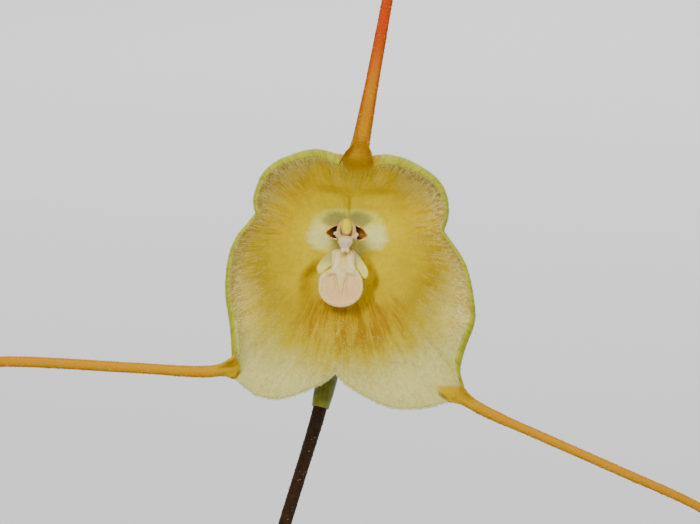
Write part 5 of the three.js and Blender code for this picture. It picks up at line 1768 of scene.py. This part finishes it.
count = 3400
places = (moss_draw.random((count, 2)) * 2 - 1) * (INNER_FACE - 1.2)
x, y = places[:, 0], places[:, 1]
edge = np.maximum(np.abs(x), np.abs(y)) / (INNER_FACE - 0.6)
height = moss_height(x, y, edge)
slope = np.column_stack([x * 0.004, y * 0.004, np.ones(count)])
tilt = unit(slope + 0.28 * moss_draw.standard_normal((count, 3)))
size = 1.7 + 1.0 * moss_draw.random(count)
place = np.column_stack([x, y, height - 0.2])
feet = np.concatenate(shoot_feet)
clear = np.min(np.linalg.norm(place[:, None, :2] - feet[None, :, :2], axis=2), axis=1) >= 1.6
place, tilt, size = place[clear], tilt[clear], size[clear]
twists = moss_draw.random(len(place)) * 6.28
heads = copies_of(
    head_shape, "moss_heads", aim(tilt, size, size, twists) * MM, place * MM, moss_draw.random(len(place)))
settle(heads, head_finish, "moss")

count = 2600
side_of = moss_draw.integers(0, 4, count)
along = (moss_draw.random(count) * 2 - 1) * 44
layer = moss_draw.integers(0, 3, count)
gap_bottom = np.where(side_of < 2, 2 * layer + 2, 2 * layer + 1) * LAYER_STEP
z = gap_bottom + 0.7 + moss_draw.random(count) * (SLAT_HEIGHT - 1.4)
out = np.full(count, 47.6) + 0.8 * moss_draw.random(count)
sign = np.where(side_of % 2 == 0, 1.0, -1.0)
across_x = (side_of < 2)[:, None]
place = np.where(across_x, np.column_stack([sign * out, along, z]), np.column_stack([along, sign * out, z]))
direction = np.where(across_x, np.outer(sign, [1, 0, 0]), np.outer(sign, [0, 1, 0]))
direction = unit(direction + 0.35 * moss_draw.standard_normal((count, 3)))
size = 1.2 + 0.9 * moss_draw.random(count)
twists = moss_draw.random(count) * 6.28
side_heads = copies_of(
    head_shape, "moss_side_heads", aim(direction, size, size * 0.8, twists) * MM, place * MM,
    moss_draw.random(count))
settle(side_heads, head_finish, "moss")

# %% [markdown]
# ## Basket
# The basket is a crib of sawn hardwood slats: seven across the floor, then six crossed layers for the
# walls, all threaded on four corner rods. A slat starts as a cube. Its edges are rounded, the rod's holes
# are cut, and its faces get the slight waviness of a rough saw. Each slat takes a stretch of grain of its
# own.

# %% Slats
def slat_shape(bored):
    """One slat along X with its underside at height 0."""
    clear_selection()
    bpy.ops.mesh.primitive_cube_add(size=1)
    slat = bpy.context.object
    with whole_mesh():
        bpy.ops.transform.resize(value=(SLAT_LENGTH * MM, SLAT_WIDTH * MM, SLAT_HEIGHT * MM))
        bpy.ops.transform.translate(value=(0, 0, SLAT_HEIGHT * MM / 2))
        bpy.ops.mesh.bevel(offset=0.6 * MM, segments=3)
    for cut in np.arange(-55, 56, 5.0):
        with whole_mesh():
            bpy.ops.mesh.bisect(plane_co=(cut * MM, 0, 0), plane_no=(1, 0, 0))
    if bored:
        for side in (-1, 1):
            bpy.ops.mesh.primitive_cylinder_add(
                vertices=24, radius=1.3 * MM, depth=4 * SLAT_HEIGHT * MM,
                location=(side * CROSSING * MM, 0, 0))
            drill = bpy.context.object
            hole = slat.modifiers.new("hole", "BOOLEAN")
            hole.operation = "DIFFERENCE"
            hole.object = drill
            pick(slat)
            bpy.ops.object.modifier_apply(modifier=hole.name)
            bpy.data.objects.remove(drill)
    return slat


wood_finish = new_finish("wood_finish", Roughness=0.75, Specular_IOR_Level=0.3)
grain_point = attribute("grain", "Vector")
long_grain = vector_step("MULTIPLY", grain_point, (0.035, 0.9, 0.9))
wander = noise(vector_step("MULTIPLY", grain_point, (0.02, 0.12, 0.12)), 1.0)
rings_here = noise(long_grain, 1.0, 5.0, Roughness=0.6, Distortion=0.6)
fine_grain = noise(vector_step("MULTIPLY", grain_point, (0.25, 5.0, 5.0)), 1.0)
colour = blend(ramp(rings_here, 0.35, 0.65), tint(0.17, 0.085, 0.035), tint(0.40, 0.235, 0.11))
colour = blend(ramp(fine_grain, 0.5, 0.72) * 0.6, colour, tint(0.10, 0.048, 0.02))
colour = blend(ramp(wander, 0.5, 0.7) * 0.55, colour, tint(0.38, 0.31, 0.22))
damp = noise(object_point(), 0.05, 3.0)
colour = blend(ramp(damp, 0.55, 0.7) * 0.45, colour, tint(0.09, 0.10, 0.035))
give(Base_Color=colour)
relief = rings_here + fine_grain * 0.6
emboss(relief, 0.6, 0.0005)

wood_draw = np.random.default_rng(5)
shapes = {True: slat_shape(True), False: slat_shape(False)}


def place_slat(name, node, bored, middle, along_y):
    """A slat of its own, worn a little differently from the next one."""
    mesh = shapes[bored].data.copy()
    mesh.name = name
    corners = np.array([v.co for v in mesh.vertices]) / MM
    phase = wood_draw.random(6) * 6.28
    wave = 0.10 * np.sin(corners[:, 0] / 9 + phase[0]) + 0.06 * np.sin(corners[:, 0] / 3.1 + phase[1])
    grain = corners + wood_draw.random(3) * 900
    corners[:, 1] += wave * 0.7 * (np.abs(corners[:, 1]) > 2)
    # Top and bottom bear on the next layer, so only the sides are wavy, and the ends are sawn a little askew.
    corners[:, 0] += 0.25 * np.sin(phase[2]) * corners[:, 1] / 4.5 * (np.abs(corners[:, 0]) > 58)
    if along_y:
        corners = np.column_stack([-corners[:, 1], corners[:, 0], corners[:, 2]])
    corners = (corners + middle) * MM
    mesh.vertices.foreach_set("co", corners.astype(np.float32).ravel())
    carried = mesh.attributes.new("grain", "FLOAT_VECTOR", "POINT")
    carried.data.foreach_set("vector", grain.astype(np.float32).ravel())
    slat = bpy.data.objects.new(name, mesh)
    bpy.context.scene.collection.objects.link(slat)
    pick(slat)
    bpy.ops.object.shade_smooth_by_angle(angle=math.radians(35))
    settle(slat, wood_finish, "basket_wood", node)


for i in range(FLOOR_SLATS):
    y = -CROSSING + 2 * CROSSING * i / (FLOOR_SLATS - 1)
    place_slat(f"floor_board_{i + 1}", f"floor_slat_{i + 1}", i in (0, FLOOR_SLATS - 1), [0, y, 0], False)
for layer in range(1, WALL_LAYERS + 1):
    for side, end in ((-1, "a"), (1, "b")):
        along_y = layer % 2 == 1
        out = side * CROSSING
        middle = [out, 0, layer * LAYER_STEP] if along_y else [0, out, layer * LAYER_STEP]
        place_slat(f"wall_board_{layer}{end}", f"wall_slat_{layer}{end}", True, middle, along_y)
for shape in shapes.values():
    bpy.data.objects.remove(shape)

# %% [markdown]
# The corner rods are dull galvanised wire with a flat domed head on top, which rests on the uppermost slat.

# %% Corner rods
rod_finish = new_finish("rod_finish", Metallic=1.0, Roughness=0.42)
point = object_point()
spangle = add_node("TexVoronoi", {"Vector": point, "Scale": 0.8})["Color"]
dull = noise(point, 0.35, 4.0)
colour = blend(ramp(dull, 0.4, 0.7), tint(0.50, 0.50, 0.49), tint(0.30, 0.29, 0.27))
colour = blend(0.12, colour, spangle)
give(Base_Color=colour)
give(Roughness=add_node("MapRange", {"Value": dull, "To Min": 0.3, "To Max": 0.6})[0])

head_bottom = BASKET_TOP + 0.3
profile = [(0.7, 1.0), (1.0, 1.3), *[(1.0, z) for z in np.linspace(2, head_bottom - 0.05, 12)],
           (1.0, head_bottom), (2.6, head_bottom), (2.8, head_bottom + 0.2), (2.8, head_bottom + 0.55)]
profile += [(2.8 * math.cos(a), head_bottom + 0.6 + 1.5 * math.sin(a)) for a in np.linspace(0.12, 1.5, 9)]
turns = 2 * np.pi * np.arange(32) / 32
for name, side_x, side_y in (("front_left", -1, -1), ("front_right", 1, -1), ("back_left", -1, 1),
                             ("back_right", 1, 1)):
    rings = np.array([np.column_stack([
        side_x * CROSSING + r * np.cos(turns), side_y * CROSSING + r * np.sin(turns), np.full(32, z)
    ]) for r, z in profile])
    rod = roll_skin(f"rod_{name}", with_ends(rings) * MM)
    settle(rod, rod_finish, "rod", f"corner_rod_{name}")

# %% [markdown]
# ## The last step
# The finished piece has to fill the same space as the frame. The shapes that the copies were made from are
# removed.

# %% Removing the model shapes
for shape in (hair_shape, wart_shape, head_shape):
    bpy.data.objects.remove(shape)
